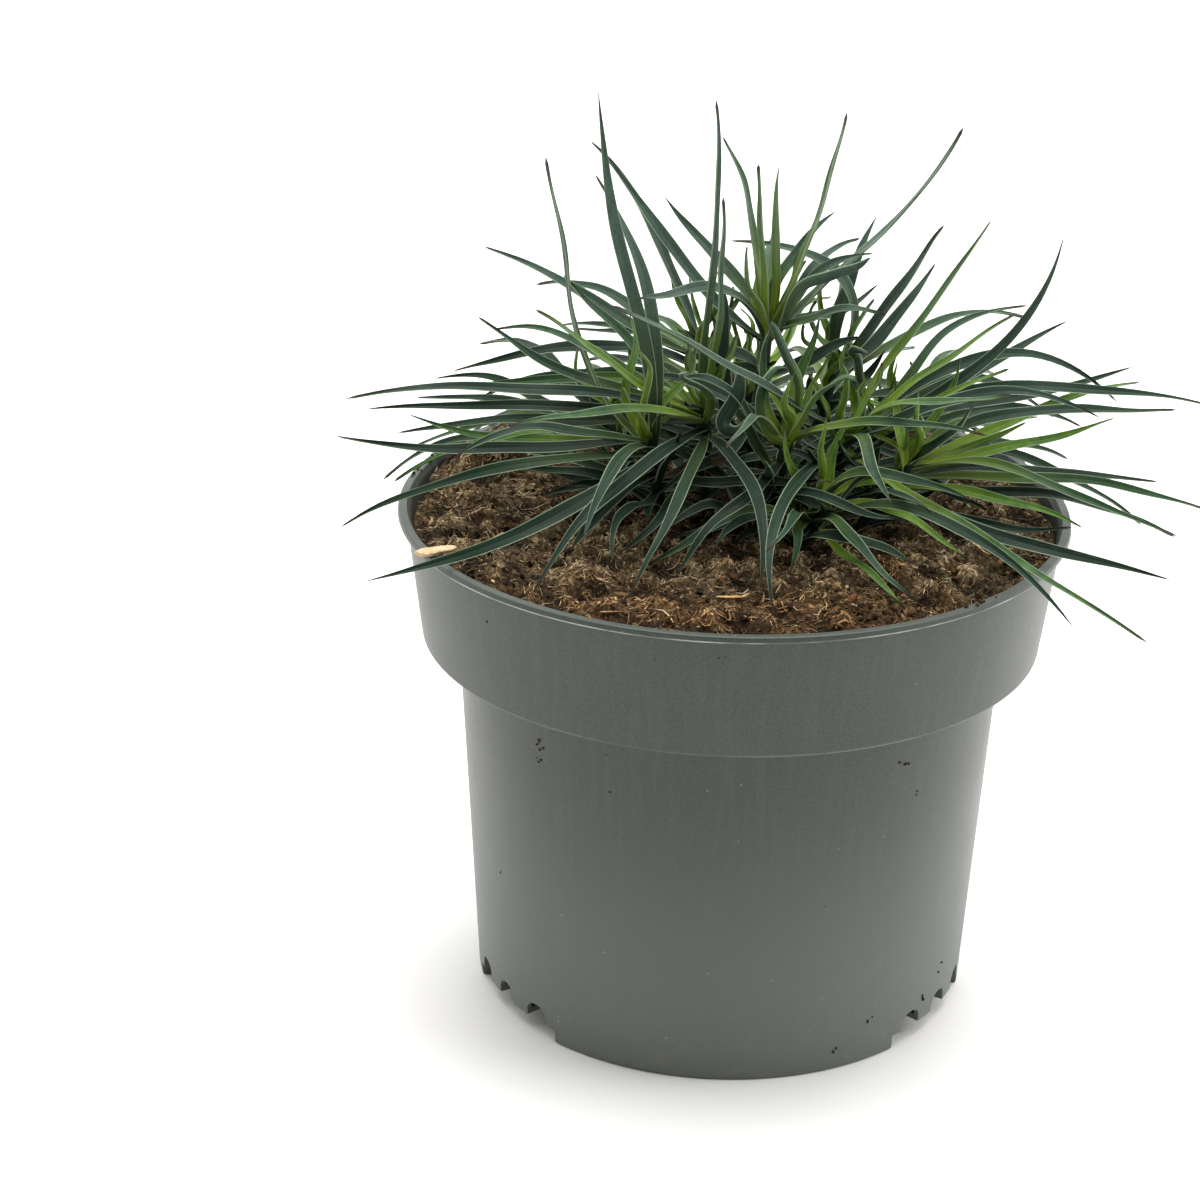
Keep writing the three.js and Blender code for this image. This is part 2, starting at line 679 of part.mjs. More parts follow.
function addPush(push, t, way, distance, tipShare = 1) {
  const scale = distance / Math.max(LEAST_GIVE, give(t, tipShare));
  push.bend.addScaledVector(way, scale * 2 * t * (1 - t));
  push.tip.addScaledVector(way, scale * tipShare * t * t);
}

// How far a point has to rise to lie a depth above the soil and the rim.
function sinking({ x, y, z }, depth) {
  const radius = Math.hypot(x, y);
  const surface = radius < COLLAR_TOP_RADIUS ? soilHeight(x, y) : 0;
  const isOverRim = radius > COLLAR_TOP_RADIUS - RIM_INSIDE && radius < LIP_RADIUS + RIM_OUTSIDE;
  return Math.max(surface, isOverRim ? POT_HEIGHT : 0) + GROUND_CLEARANCE + depth - z;
}

// Whether two leaves are too far apart to touch.
function areApart(leafA, leafB) {
  const middleA = leafA.root.clone().add(leafA.tip).multiplyScalar(0.5);
  const middleB = leafB.root.clone().add(leafB.tip).multiplyScalar(0.5);
  const reachA = middleA.distanceTo(leafA.root) + middleA.distanceTo(leafA.bend) / 2;
  const reachB = middleB.distanceTo(leafB.root) + middleB.distanceTo(leafB.bend) / 2;
  return middleA.distanceTo(middleB) > reachA + reachB + leafA.width;
}

function clearingRound(leaves, stems) {
  const rows = leaves.map(leafBoxes);
  const pushes = leaves.map(() => ({ bend: new THREE.Vector3(), tip: new THREE.Vector3() }));
  for (let a = 0; a < leaves.length; a += 1) {
    for (let b = a + 1; b < leaves.length; b += 1) {
      if (areApart(leaves[a], leaves[b])) continue;
      const leastShare = leaves[a].shoot === leaves[b].shoot ? SHARED_BASE : 0;
      const contact = deepestContact(rows[a], rows[b], CLEARING_GAP, leastShare);
      if (contact === null) continue;
      const giveA = give(contact.first.t);
      const giveB = give(contact.second.t);
      const shareA = giveA / (giveA + giveB);
      const distance = CLEARING_STEP * contact.depth;
      addPush(pushes[a], contact.first.t, contact.way, -distance * shareA);
      addPush(pushes[b], contact.second.t, contact.way, distance * (1 - shareA));
    }
    stems.forEach((stem, index) => {
      if (index === leaves[a].shoot) return;
      const contact = deepestContact(rows[a], [stem], CLEARING_GAP, 0);
      if (contact !== null) {
        addPush(pushes[a], contact.first.t, contact.way, -CLEARING_STEP * contact.depth);
      }
    });
    for (const box of rows[a]) {
      const [, across, upper] = box.axes;
      const depth = box.halves[1] * Math.abs(across.z) + box.halves[2] * Math.abs(upper.z);
      const missing = sinking(box.point, depth);
      if (missing <= 0) continue;
      addPush(pushes[a], box.t, UP, CLEARING_STEP * missing, RESTING_TIP_SHARE);
    }
    const tipMissing = sinking(leaves[a].tip, 0);
    if (tipMissing > 0) pushes[a].tip.addScaledVector(UP, CLEARING_STEP * tipMissing);
  }
  leaves.forEach((leaf, index) => {
    leaf.bend.add(pushes[index].bend.clampLength(0, CLEARING_LIMIT));
    leaf.tip.add(pushes[index].tip.clampLength(0, CLEARING_LIMIT));
  });
}

// Filler leaves that still touch another shoot are left out.
function dropTouching(leaves, stems) {
  const rows = leaves.map(leafBoxes);
  const kept = leaves.map(() => true);
  for (let a = 0; a < leaves.length; a += 1) {
    for (let b = 0; b < leaves.length; b += 1) {
      const isOther = leaves[a].shoot !== leaves[b].shoot;
      if (leaves[a].isFiller && kept[b] && isOther
        && deepestContact(rows[a], rows[b], TOUCHING_GAP, 0) !== null) kept[a] = false;
    }
    stems.forEach((stem, index) => {
      if (leaves[a].isFiller && index !== leaves[a].shoot
        && deepestContact(rows[a], [stem], TOUCHING_GAP, 0) !== null) kept[a] = false;
    });
  }
  return leaves.filter((leaf, index) => kept[index]);
}

function clearedLeaves() {
  const leaves = listLeaves();
  const stems = SHOOTS.map(stemBox);
  for (let round = 0; round < CLEARING_ROUNDS; round += 1) clearingRound(leaves, stems);
  for (const { tip } of leaves) tip.z += Math.max(0, sinking(tip, 0));
  return dropTouching(leaves, stems);
}

// ---- Leaf and shoot solids ----------------------------------------------------------------

// The four corners of a leaf's section: edge, midrib top, edge, keel.
function leafSection(leaf, t) {
  const { point, across, upper } = leafFrame(leaf, t);
  const half = leafWidth(leaf, t) / 2;
  const thin = 1 - (1 - TIP_THINNESS) * t;
  const raise = LEAF_CHANNEL * thin;
  const thick = LEAF_MIDRIB_THICKNESS * thin;
  return [
    point.clone().addScaledVector(across, half).addScaledVector(upper, raise),
    point.clone().addScaledVector(upper, thick * MIDRIB_ABOVE),
    point.clone().addScaledVector(across, -half).addScaledVector(upper, raise),
    point.clone().addScaledVector(upper, -thick * (1 - MIDRIB_ABOVE)),
  ];
}

// Both faces of a leaf are split into triangles the same way.
function leafSolid(leaf) {
  const isShort = leaf.tip.distanceTo(leaf.root) < SHORT_LEAF;
  const stations = isShort ? SHORT_LEAF_STATIONS : LEAF_STATIONS;
  const corners = [];
  for (const t of stations) corners.push(...leafSection(leaf, t));
  corners.push(leaf.tip);
  const tip = corners.length - 1;
  const triangles = [0, 2, 1, 0, 3, 2];
  const stripes = [[0, 1], [2, 1], [0, 3], [2, 3]];
  for (let ring = 0; ring < stations.length; ring += 1) {
    const near = 4 * ring;
    const isLast = ring === stations.length - 1;
    stripes.forEach(([edge, middle], stripe) => {
      const outward = stripe === 0 || stripe === 3;
      const faces = isLast
        ? [[near + edge, near + middle, tip]]
        : [[near + edge, near + middle, near + 4 + middle],
          [near + edge, near + 4 + middle, near + 4 + edge]];
      for (const [a, b, c] of faces) triangles.push(...(outward ? [a, b, c] : [a, c, b]));
    });
  }
  const geometry = new THREE.BufferGeometry().setFromPoints(corners);
  geometry.setIndex(triangles);
  return toSolid(geometry);
}

function shootSolid(shoot, leaves) {
  const bottom = stemPoint(shoot, STEM_BOTTOM);
  const top = stemPoint(shoot, shoot.heart[2] + STEM_ABOVE_HEART);
  let solid = toSolid(bar(bottom, top,
    STEM_RADIUS * STEM_BOTTOM_SHARE, STEM_RADIUS * STEM_TOP_SHARE, STEM_SIDES));
  for (const leaf of leaves) solid = solid.add(leafSolid(leaf));
  // The largest piece is the shoot: a gap sealed between leaf bases is filled this way.
  const pieces = solid.decompose();
  return pieces.reduce((a, b) => (a.volume() > b.volume() ? a : b));
}

// ---- The plant in its pot -----------------------------------------------------------------

const plant = new THREE.Group();
plant.name = 'dianthus_in_pot';

plant.add(toMesh(makePot(), 'pot', 0x63675f, 0.45));
plant.add(toMesh(makeSoil(SHOOTS), 'soil', 0x4a3322, 0.95));
plant.add(toMesh(makeChip(), 'wood_chip', 0xcfae82, 0.8));

const leaves = clearedLeaves();
SHOOTS.forEach((shoot, index) => {
  const own = leaves.filter((leaf) => leaf.shoot === index);
  plant.add(toMesh(shootSolid(shoot, own), shoot.name, 0x4f7a3c, 0.5));
});

export default plant;
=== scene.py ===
"""A dianthus plant in its nursery pot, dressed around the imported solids.

The leaves follow the same rule as the solids that they replace, so each fine leaf lies where its
solid is. Lengths are millimetres, and MM turns them into Blender's metres.
"""

import math

import bmesh
import bpy
import numpy as np
from mathutils import Matrix, Vector


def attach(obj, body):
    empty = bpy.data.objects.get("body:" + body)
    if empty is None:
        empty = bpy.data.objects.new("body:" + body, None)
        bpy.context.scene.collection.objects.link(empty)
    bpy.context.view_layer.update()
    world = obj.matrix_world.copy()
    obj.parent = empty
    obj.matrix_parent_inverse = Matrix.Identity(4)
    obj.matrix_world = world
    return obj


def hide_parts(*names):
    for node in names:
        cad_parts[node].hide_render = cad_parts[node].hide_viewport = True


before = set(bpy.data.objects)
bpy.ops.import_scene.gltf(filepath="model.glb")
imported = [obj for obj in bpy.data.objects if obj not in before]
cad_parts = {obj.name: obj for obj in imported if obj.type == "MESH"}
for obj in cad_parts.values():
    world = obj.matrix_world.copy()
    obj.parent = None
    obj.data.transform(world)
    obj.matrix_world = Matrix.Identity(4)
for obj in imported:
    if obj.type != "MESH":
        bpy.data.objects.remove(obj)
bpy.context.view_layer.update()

MM = 0.001

# ---- Camera and light ----

LENS = 94.2
SENSOR = 36.0
CLIP_START = 0.05
CLIP_END = 50
CAMERA_PLACE = (-32.6, -723.4, 407.8)
CAMERA_DOWN = 23.02
CAMERA_ROLL = 1.01

# ---- Sizes of the pot ----

POT_SEGMENTS = 288
POT_HEIGHT = 127.0
WALL = 1.2
BODY_BOTTOM_RADIUS = 62.5
BODY_TOP_RADIUS = 68.0
COLLAR_BOTTOM = 94.5
COLLAR_BOTTOM_RADIUS = 77.0
COLLAR_TOP_RADIUS = 80.9
LIP_RADIUS = 83.0
LIP_HEIGHT = 1.5
FLOOR_THICKNESS = 1.6
CHANNEL_HEIGHT = 4.0
CHANNEL_ANGLE = 36.0
CHANNEL_INNER_RADIUS = 40.0
CHANNEL_DIRECTIONS = (90, 210, 330)
NOTCH_SPACING = 12.0
NOTCH_WIDTH = 7.0
NOTCH_TOP = 8.5
NOTCH_INNER_RADIUS = 57.0

# ---- Sizes of the soil ----

CONTACT_GAP = 0.4
SOIL_LEVEL = 123.4
SOIL_RADIUS = 79.0
SOIL_EDGE_DROP = 1.6
SOIL_EDGE_START = 60
SOIL_EDGE_WIDTH = 20

# Waves of the soil's top: height, then the rate along x and y, and the phase. The swell has
# a rate and a phase along x and along y.
SOIL_WAVES = ((0.6, 0.23, -0.31, 1), (0.4, 0.41, 0.37, 0))
SOIL_SWELL = 0.8
SOIL_SWELL_X = (0.11, 0.5)
SOIL_SWELL_Y = (0.13, -0.7)

# Bumps and dips in the soil: x, y, height, spread.
MOUND = (-61, 38, 6.5, 12)
BACK_HEAP = (52, 52, 3, 16)
PIT = (-21, 5, -3.5, 7)

# ---- Rows and values of the leaves ----

STEM_RADIUS = 2.1
STEM_BOTTOM = 108.0
FOOT_HEIGHT = 120.0

LEAF_YOUNG_WIDTH = 2.3
LEAF_WIDTH_PER_AGE = 0.13
LEAF_WIDTH_SPREAD = 0.24
FILLER_WIDTH_SHARE = 0.92
LEAF_BASE_SHARE = 0.62
LEAF_WIDEST = 0.4
LEAF_TAPER = 1.8
LOWEST_ROOT = 0.75
HANGING_RISE = 0.6
ROOT_SPACING = 0.5
ROOT_STEPS = 8
LEAF_MIDRIB_THICKNESS = 1.1
MIDRIB_ABOVE = 0.25
LEAF_CHANNEL = 0.6
TIP_THINNESS = 0.55
LEAF_WAVE = 1.1
FILLER_WAVE = 2.4
LEAF_TWIST = math.radians(44)
LIGHT_TURN = math.radians(42)
LIGHT_TURN_SHARE = 0.35

CLEARING_ROUNDS = 90
CLEARING_SAMPLES = 14
CLEARING_STEP = 0.6
CLEARING_LIMIT = 2.5
CLEARING_GAP = 0.6
TOUCHING_GAP = 0.25
LEAST_GIVE = 0.06
RESTING_TIP_SHARE = 0.15
LEAF_HALF_DEPTH = 0.95
SHARED_BASE = 0.25
GROUND_CLEARANCE = 1.4
RIM_INSIDE = 4
RIM_OUTSIDE = 2
LEAST_CROSSING = 0.01

# A range is its start and its width.
RANDOM_SEED = 7
FILLER_SWING = 16
FILLER_RISES = (-10, 9, -3, 16)
FILLER_LENGTH_SPREAD = 26
FILLER_ARCH = (3, 5)
FILLER_AGE = (3, 6)
TUFT_LEAVES = 3
TUFT_SWING = 40
TUFT_LIFT = (62, 12)
TUFT_LENGTH = (20, 10)
SKIRT_LEAVES = 4
SKIRT_TURN = 84
SKIRT_SWING = 30
SKIRT_LENGTH = (34, 12)
SKIRT_ARCH = (3, 3)
SKIRT_AGE = (7, 2)
SKIRT_TIP_ABOVE_SOIL = (3, 9)
SKIRT_ROOT_LEVEL = 0.25
SKIRT_ROOT_STEP = 0.12
OLDEST = 9.0

# Every shoot has its name, its foot, where the stem leaves the soil, its heart, the growing
# point at its top, its filler and its leaves. Filler gives the number of further leaves, their
# direction and half spread in degrees, their rise and least length. Every leaf is a row: tip x,
# y, z, then arch, sway and age. Arch bows the leaf towards its upper face and sway bows it
# sideways. Age runs from 0, the youngest, to 9. A row may go on with the level of its root on
# the stem, from 0 to 1, the turn of its blade in degrees and the wave out of its face.
SHOOT_KEYS = ("name", "foot", "heart", "filler", "leaves")
SHOOTS = [dict(zip(SHOOT_KEYS, row)) for row in (
    ("shoot_left", (-6, -1), (-8, -2, 152), (4, 200, 80, 12, 44), (
        (-94, -20, 158, 0, 0, 8), (-72, 10, 152, 6, 0, 4), (-91, 0, 150, 2, 0, 8),
        (-84, 10, 141, 4, 0, 7), (-49, -14, 181, 0, 0, 1), (-64, 6, 172, -4, 0, 6),
        (-43, 10, 182, 0, 0, 5), (-8, -4, 230, -1, 1, 6, 1, 55), (-6, -14, 209, -2, 0, 4, 1, 50),
        (-49, -57, 125, 4, 0, 9), (-26, -58, 125, 5, 4, 7), (4, -56, 126, 5, 4, 8),
    )),
    ("shoot_low_left", (-17, -8), (-21, -10, 147), (3, 215, 60, -5, 44), (
        (-81, 6, 147, -3, 0, 3), (-97, -14, 148, -3, 0, 9), (-96, -18, 126, 6, 0, 7),
        (-88, -52, 123, -3, 8, 8), (-35, 8, 229, 2, 2, 7, 1, -26, 1.6), (-36, 16, 206, 6, -2, 7),
        (-47, 14, 211, -5, 0, 6, 1, 40, -1.8), (-40, -34, 127, 4, 0, 8),
    )),
    ("shoot_back_left", (-8, 16), (-7, 20, 158), (5, 125, 50, -10, 46), (
        (-37, 16, 214, 3, 0, 8), (-63, 26, 184, 0, 0, 7), (-71, 34, 147, 5, 0, 9),
        (-60, 44, 145, -1, 0, 9), (-3, 14, 179, 0, 0, 9),
    )),
    ("shoot_top", (3, 6), (7, 6, 170), (5, 90, 150, 26, 26), (
        (-5, 2, 219, 3, 0, 3), (4, 1, 213, 0, 1, 0), (7, 0, 213, 0, 0, 0),
        (23, -4, 227, -2, 0, 2), (23, 16, 197, 6, 0, 5), (31, 0, 192, 5, 0, 8),
        (-34, 14, 212, -3, 0, 8), (53, 20, 218, -2, 0, 7, 1, -5, 1.5), (36, 26, 175, -3, 0, 8),
    )),
    ("shoot_back_right", (15, 11), (24, 14, 156), (5, 60, 50, -8, 46), (
        (35, 24, 194, 3, 0, 7), (49, 14, 195, 0, 0, 8), (50, 34, 179, -3, 0, 8),
        (-3, 14, 190, 16, 0, 7),
    )),
    ("shoot_right", (18, -3), (27, -6, 148), (4, 320, 70, 16, 42), (
        (-32, -40, 189, -3, 0, 9), (58, -8, 203, 1, 0, 2), (76, -4, 198, -11, 0, 8),
        (65, -14, 182, 1, 0, 1), (65, -12, 167, 0, 0, 0), (82, 16, 170, -1, 0, 7),
        (95, 8, 152, 18, 0, 8), (116, 6, 153, 11, 0, 8), (99, 20, 158, 1, 0, 8),
        (92, -70, 119, -2, -9, 4), (7, -72, 126, 4, -8, 8),
    )),
    ("shoot_far_right", (27, -10), (41, -12, 142), (3, 15, 60, 2, 46), (
        (93, 4, 150, -1, 0, 2), (99, 10, 157, 2, 0, 2), (71, 0, 150, -1, 0, 1),
        (119, 2, 126, 4, 0, 5), (108, 20, 127, 3, 0, 9), (110, 2, 119, 3, 0, 9),
        (83, -22, 130, 3, 0, 2), (103, -35, 120, -3, -12, 9),
    )),
    ("shoot_centre", (6, -10), (12, -12, 148), (5, 250, 110, 20, 34), (
        (-15, -47, 126, 5, 3, 9), (-14, -18, 128, -4, 0, 9), (20, 4, 175, 0, 0, 3),
        (8, -10, 177, -4, 0, 4),
    )),
    ("shoot_front_low", (13, -18), (19, -20, 133), (4, 270, 80, 0, 34), (
        (50, -25, 138, -1, 0, 1), (53, -47, 127, -2, 0, 1), (39, -63, 126, 1, 0, 2),
        (12, -44, 126, 4, 0, 4), (75, -72, 118, 3, 0, 7),
    )),
    ("shoot_back", (2, 23), (5, 31, 147), (12, 90, 56, -13, 56), ()),
    ("shoot_rear_left", (-20, 9), (-30, 17, 141), (9, 130, 42, -14, 52), ()),
    ("shoot_rear_right", (27, 10), (39, 17, 140), (9, 50, 42, -14, 52), ()),
)]

# ---- The leaf rule ----

UP = np.array([0.0, 0.0, 1.0])
ROUND = 2 * math.pi
WORD = 0xFFFFFFFF


def seeded_random(seed):
    """Random numbers from 0 to 1 that are the same in every run."""
    state = seed

    def draw():
        nonlocal state
        state = (state + 0x6D2B79F5) & WORD
        mixed = ((state ^ (state >> 15)) * (1 | state)) & WORD
        mixed = (mixed + (((mixed ^ (mixed >> 7)) * (61 | mixed)) & WORD)) & WORD ^ mixed
        return (mixed ^ (mixed >> 14)) / (WORD + 1)

    return draw


def dot(a, b):
    return np.einsum("...i,...i->...", a, b)


def unit(vectors):
    return vectors / np.linalg.norm(vectors, axis=-1, keepdims=True)


def bump(place, x, y):
    centre_x, centre_y, height, spread = place
    distance = np.hypot(x - centre_x, y - centre_y) / spread
    return height * np.exp(-distance * distance / 2)


def soil_height(x, y):
    """The height of the soil's uneven top above the ground."""
    edge = np.clip((np.hypot(x, y) - SOIL_EDGE_START) / SOIL_EDGE_WIDTH, 0, 1)
    height = SOIL_LEVEL - SOIL_EDGE_DROP * edge * edge
    (rate_x, phase_x), (rate_y, phase_y) = SOIL_SWELL_X, SOIL_SWELL_Y
    height = height + SOIL_SWELL * np.sin(rate_x * x + phase_x) * np.cos(rate_y * y + phase_y)
    for rise, along_x, along_y, phase in SOIL_WAVES:
        height = height + rise * np.sin(along_x * x + along_y * y + phase)
    return height + bump(MOUND, x, y) + bump(BACK_HEAP, x, y) + bump(PIT, x, y)


def stem_point(shoot, height):
    """The point on a shoot's stem axis at a height."""
    x, y, z = shoot["heart"]
    foot_x, foot_y = shoot["foot"]
    share = (height - FOOT_HEIGHT) / (z - FOOT_HEIGHT)
    return np.array([foot_x + (x - foot_x) * share, foot_y + (y - foot_y) * share, height])


def within(start_and_width, share):
    start, width = start_and_width
    return start + width * share


def make_leaf(shoot, index, row, order, random):
    """A leaf as a curve of three points, which swings a little to both sides and up and down."""
    x, y, z, arch, sway, age, level, facing, bowed = (*row, None, None, None)[:9]
    tip = np.array([x, y, z], float)
    heart = np.array(shoot["heart"], float)
    rise = (tip[2] - heart[2]) / np.linalg.norm(tip - heart)
    if level is None:
        level = LOWEST_ROOT + (1 - LOWEST_ROOT) * min(max(1 + rise / HANGING_RISE, 0), 1)
    below = ROOT_SPACING * (order % ROOT_STEPS)
    root = stem_point(shoot, FOOT_HEIGHT + (heart[2] - FOOT_HEIGHT) * level - below)
    chord = tip - root
    heading = unit(chord * (1, 1, 0))
    side = np.cross(UP, heading)
    upper = np.cross(unit(chord), side)
    is_filler = order >= len(shoot["leaves"])
    wave = FILLER_WAVE if is_filler else LEAF_WAVE
    share = FILLER_WIDTH_SHARE if is_filler else 1
    grown = (LEAF_YOUNG_WIDTH + LEAF_WIDTH_PER_AGE * age) * share
    twist, side_wave, upper_wave, spread = (random() for _ in range(4))
    return {
        "shoot": index, "filler": is_filler, "side": side, "upper": upper, "age": age / OLDEST,
        "root": root, "bend": (root + tip) / 2 + upper * 2 * arch + side * 2 * sway, "tip": tip,
        "turn": LIGHT_TURN * heading[0] if facing is None else math.radians(facing),
        "twist": LEAF_TWIST * (twist - 0.5),
        "side_wave": wave * (2 * side_wave - 1),
        "upper_wave": wave * (2 * upper_wave - 1) if bowed is None else bowed,
        "width": grown * (1 + LEAF_WIDTH_SPREAD * (spread - 0.5)),
    }


def row_towards(shoot, direction, lift, reach, arch, age):
    """A row for a leaf that leaves its shoot's heart in a direction, at a lift above level."""
    x, y, z = shoot["heart"]
    direction, lift = math.radians(direction), math.radians(lift)
    out = reach * math.cos(lift)
    return (
        x + out * math.cos(direction), y + out * math.sin(direction), z + reach * math.sin(lift),
        arch, 0, age)


def filler_rows(shoot, random):
    """The leaves that no row states: long ones, a young tuft and a skirt of short old leaves."""
    count, direction, spread, rise, least_reach = shoot["filler"]
    rows = []
    for i in range(count):
        swing = spread * ((2 * i + 1) / count - 1) + FILLER_SWING * (random() - 0.5)
        lift = rise + FILLER_RISES[i % len(FILLER_RISES)]
        reach = least_reach + FILLER_LENGTH_SPREAD * random()
        arch = within(FILLER_ARCH, random())
        age = within(FILLER_AGE, random())
        rows.append(row_towards(shoot, direction + swing, lift, reach, arch, age))
    for i in range(TUFT_LEAVES):
        heading = direction + 360 * i / TUFT_LEAVES + TUFT_SWING * random()
        lift = within(TUFT_LIFT, random())
        reach = within(TUFT_LENGTH, random())
        rows.append(row_towards(shoot, heading, lift, reach, 0, random()))
    for i in range(SKIRT_LEAVES):
        middle = (SKIRT_LEAVES - 1) / 2
        heading = direction + SKIRT_TURN * (i - middle) + SKIRT_SWING * (random() - 0.5)
        reach = within(SKIRT_LENGTH, random())
        arch = within(SKIRT_ARCH, random())
        age = within(SKIRT_AGE, random())
        x, y, _, *rest = row_towards(shoot, heading, 0, reach, arch, age)
        height = SOIL_LEVEL + within(SKIRT_TIP_ABOVE_SOIL, random())
        rows.append((x, y, height, *rest, SKIRT_ROOT_LEVEL + SKIRT_ROOT_STEP * i))
    return rows


def as_table(rows):
    """Rows as arrays, with one entry for each row."""
    return {key: np.array([row[key] for row in rows]) for key in rows[0]}


def list_leaves():
    random = seeded_random(RANDOM_SEED)
    leaves = []
    for index, shoot in enumerate(SHOOTS):
        rows = [*shoot["leaves"], *filler_rows(shoot, random)]
        for order, row in enumerate(rows):
            leaves.append(make_leaf(shoot, index, row, order, random))
    return as_table(leaves)


def leaf_frames(leaves, t):
    """Place and directions of every leaf at the shares t: along, across and out of its face."""
    t = np.asarray(t)[None, :, None]
    s = 1 - t
    root, bend, tip, side, upper, side_wave, upper_wave, turn, twist = (
        leaves[key].reshape(len(leaves["width"]), 1, -1) for key in (
            "root", "bend", "tip", "side", "upper", "side_wave", "upper_wave", "turn", "twist"))
    wave = side * side_wave + upper * upper_wave
    point = root * s * s + bend * 2 * s * t + tip * t * t + wave * np.sin(ROUND * t)
    speed = (bend - root) * 2 * s + (tip - bend) * 2 * t + wave * ROUND * np.cos(ROUND * t)
    length = np.linalg.norm(speed, axis=-1)
    along = speed / length[..., None]
    level = unit(side - along * dot(side, along)[..., None])
    turn = turn * np.minimum(1, t / LIGHT_TURN_SHARE) + twist * t
    across = level * np.cos(turn) + np.cross(along, level) * np.sin(turn)
    return point, along, across, np.cross(along, across), length


def leaf_widths(leaves, t):
    """How wide every leaf is at the shares t: widest before the middle, with a long tip."""
    growth = np.sin(np.minimum(t / LEAF_WIDEST, 1) * math.pi / 2)
    taper = np.clip((t - LEAF_WIDEST) / (1 - LEAF_WIDEST), 0, 1) ** LEAF_TAPER
    shape = (LEAF_BASE_SHARE + (1 - LEAF_BASE_SHARE) * growth) * (1 - taper)
    return leaves["width"][:, None] * shape[None, :]


# ---- Clearing leaves from each other ----

SAMPLES = (np.arange(CLEARING_SAMPLES) + 0.5) / CLEARING_SAMPLES


def leaf_boxes(leaves):
    """A row of boxes along each leaf, which stand for it while the leaves are moved clear."""
    point, along, across, upper, length = leaf_frames(leaves, SAMPLES)
    half_length = length / CLEARING_SAMPLES / 2
    half_width = leaf_widths(leaves, SAMPLES) / 2
    return {
        "point": point,
        "axes": np.stack([along, across, upper], axis=2),
        "halves": np.stack([half_length, half_width, np.full_like(length, LEAF_HALF_DEPTH)], 2),
        "reach": half_length + half_width,
    }


def stem_boxes():
    boxes = []
    for shoot in SHOOTS:
        low = stem_point(shoot, FOOT_HEIGHT)
        high = np.array(shoot["heart"], float)
        half = np.linalg.norm(high - low) / 2
        along = unit(high - low)
        across = unit(np.array([1.0, 0, 0]) - along * along[0])
        boxes.append({
            "point": [(low + high) / 2], "axes": [[along, across, np.cross(along, across)]],
            "halves": [[half, STEM_RADIUS, STEM_RADIUS]], "reach": [half + STEM_RADIUS]})
    return as_table(boxes)


def reach_along(box, axis):
    return np.einsum("ni,ni->n", box["halves"], np.abs(np.einsum("nij,nj->ni", box["axes"], axis)))


def box_contacts(first, second, gap):
    """How deep pairs of boxes overlap, -inf if clear, and the shortest way out for the second."""
    between = second["point"] - first["point"]
    clear = dot(between, between) > (first["reach"] + second["reach"] + gap) ** 2
    for box in (first, second):
        axis = box["axes"][:, 0]
        clear |= reach_along(first, axis) + reach_along(second, axis) < np.abs(dot(between, axis))
    crossing = np.cross(first["axes"][:, 0], second["axes"][:, 0])
    crossed = dot(crossing, crossing) > LEAST_CROSSING
    crossing[crossed] = unit(crossing[crossed])
    faces = [(box["axes"][:, side], True) for side in (2, 1) for box in (first, second)]
    best_depth = np.full(len(between), np.inf)
    best_way = np.zeros_like(between)
    for axis, counts in (*faces, (crossing, crossed)):
        offset = dot(between, axis)
        depth = reach_along(first, axis) + reach_along(second, axis) + gap - np.abs(offset)
        depth = np.where(counts, depth, np.inf)
        clear |= depth <= 0
        better = depth < best_depth
        best_depth = np.where(better, depth, best_depth)
        way = axis * np.where(offset < 0, -1.0, 1.0)[:, None]
        best_way = np.where(better[:, None], way, best_way)
    return np.where(clear, -np.inf, best_depth), best_way


def pick(boxes, *index):
    return {key: rows[index] for key, rows in boxes.items()}


def contacts(first_boxes, second_boxes, pairs, gap, counts=True):
    """The deepest contact of each pair of rows that touch: rows, samples, depth and way out."""
    first, second = pairs
    start, end = first_boxes["point"][first], second_boxes["point"][second]
    square = dot(start, start)[:, :, None] + dot(end, end)[:, None]
    square = square - 2 * start @ end.transpose(0, 2, 1)
    far = first_boxes["reach"][first][:, :, None] + second_boxes["reach"][second][:, None] + gap
    pair, i, j = np.nonzero((square <= far * far) & counts)
    depth, way = box_contacts(
        pick(first_boxes, first[pair], i), pick(second_boxes, second[pair], j), gap)
    deepest = np.lexsort((np.arange(len(pair)), -depth, pair))
    deepest = deepest[depth[deepest] > -np.inf]
    deepest = deepest[np.unique(pair[deepest], return_index=True)[1]]
    rows = first[pair], second[pair], i, j, depth, way
    return [row[deepest] for row in rows]


def other_stems(leaves):
    """Pairs of each leaf with each stem but its own."""
    return np.nonzero(leaves["shoot"][:, None] != np.arange(len(SHOOTS)))


def give(t, tip_share=1.0):
    """How far a leaf gives at a share t when its bend moves and its tip moves by a share."""
    return (2 * t * (1 - t)) ** 2 + tip_share * t ** 4


def add_push(pushes, leaf, sample, way, distance, tip_share=1.0):
    t = SAMPLES[sample]
    scale = distance / np.maximum(LEAST_GIVE, give(t, tip_share))
    np.add.at(pushes["bend"], leaf, way * (scale * 2 * t * (1 - t))[:, None])
    np.add.at(pushes["tip"], leaf, way * (scale * tip_share * t * t)[:, None])


def sinking(point, depth):
    """How far points have to rise to lie a depth above the soil and the rim."""
    x, y, z = point[..., 0], point[..., 1], point[..., 2]
    radius = np.hypot(x, y)
    surface = np.where(radius < COLLAR_TOP_RADIUS, soil_height(x, y), 0)
    on_rim = (radius > COLLAR_TOP_RADIUS - RIM_INSIDE) & (radius < LIP_RADIUS + RIM_OUTSIDE)
    return np.maximum(surface, np.where(on_rim, POT_HEIGHT, 0)) + GROUND_CLEARANCE + depth - z


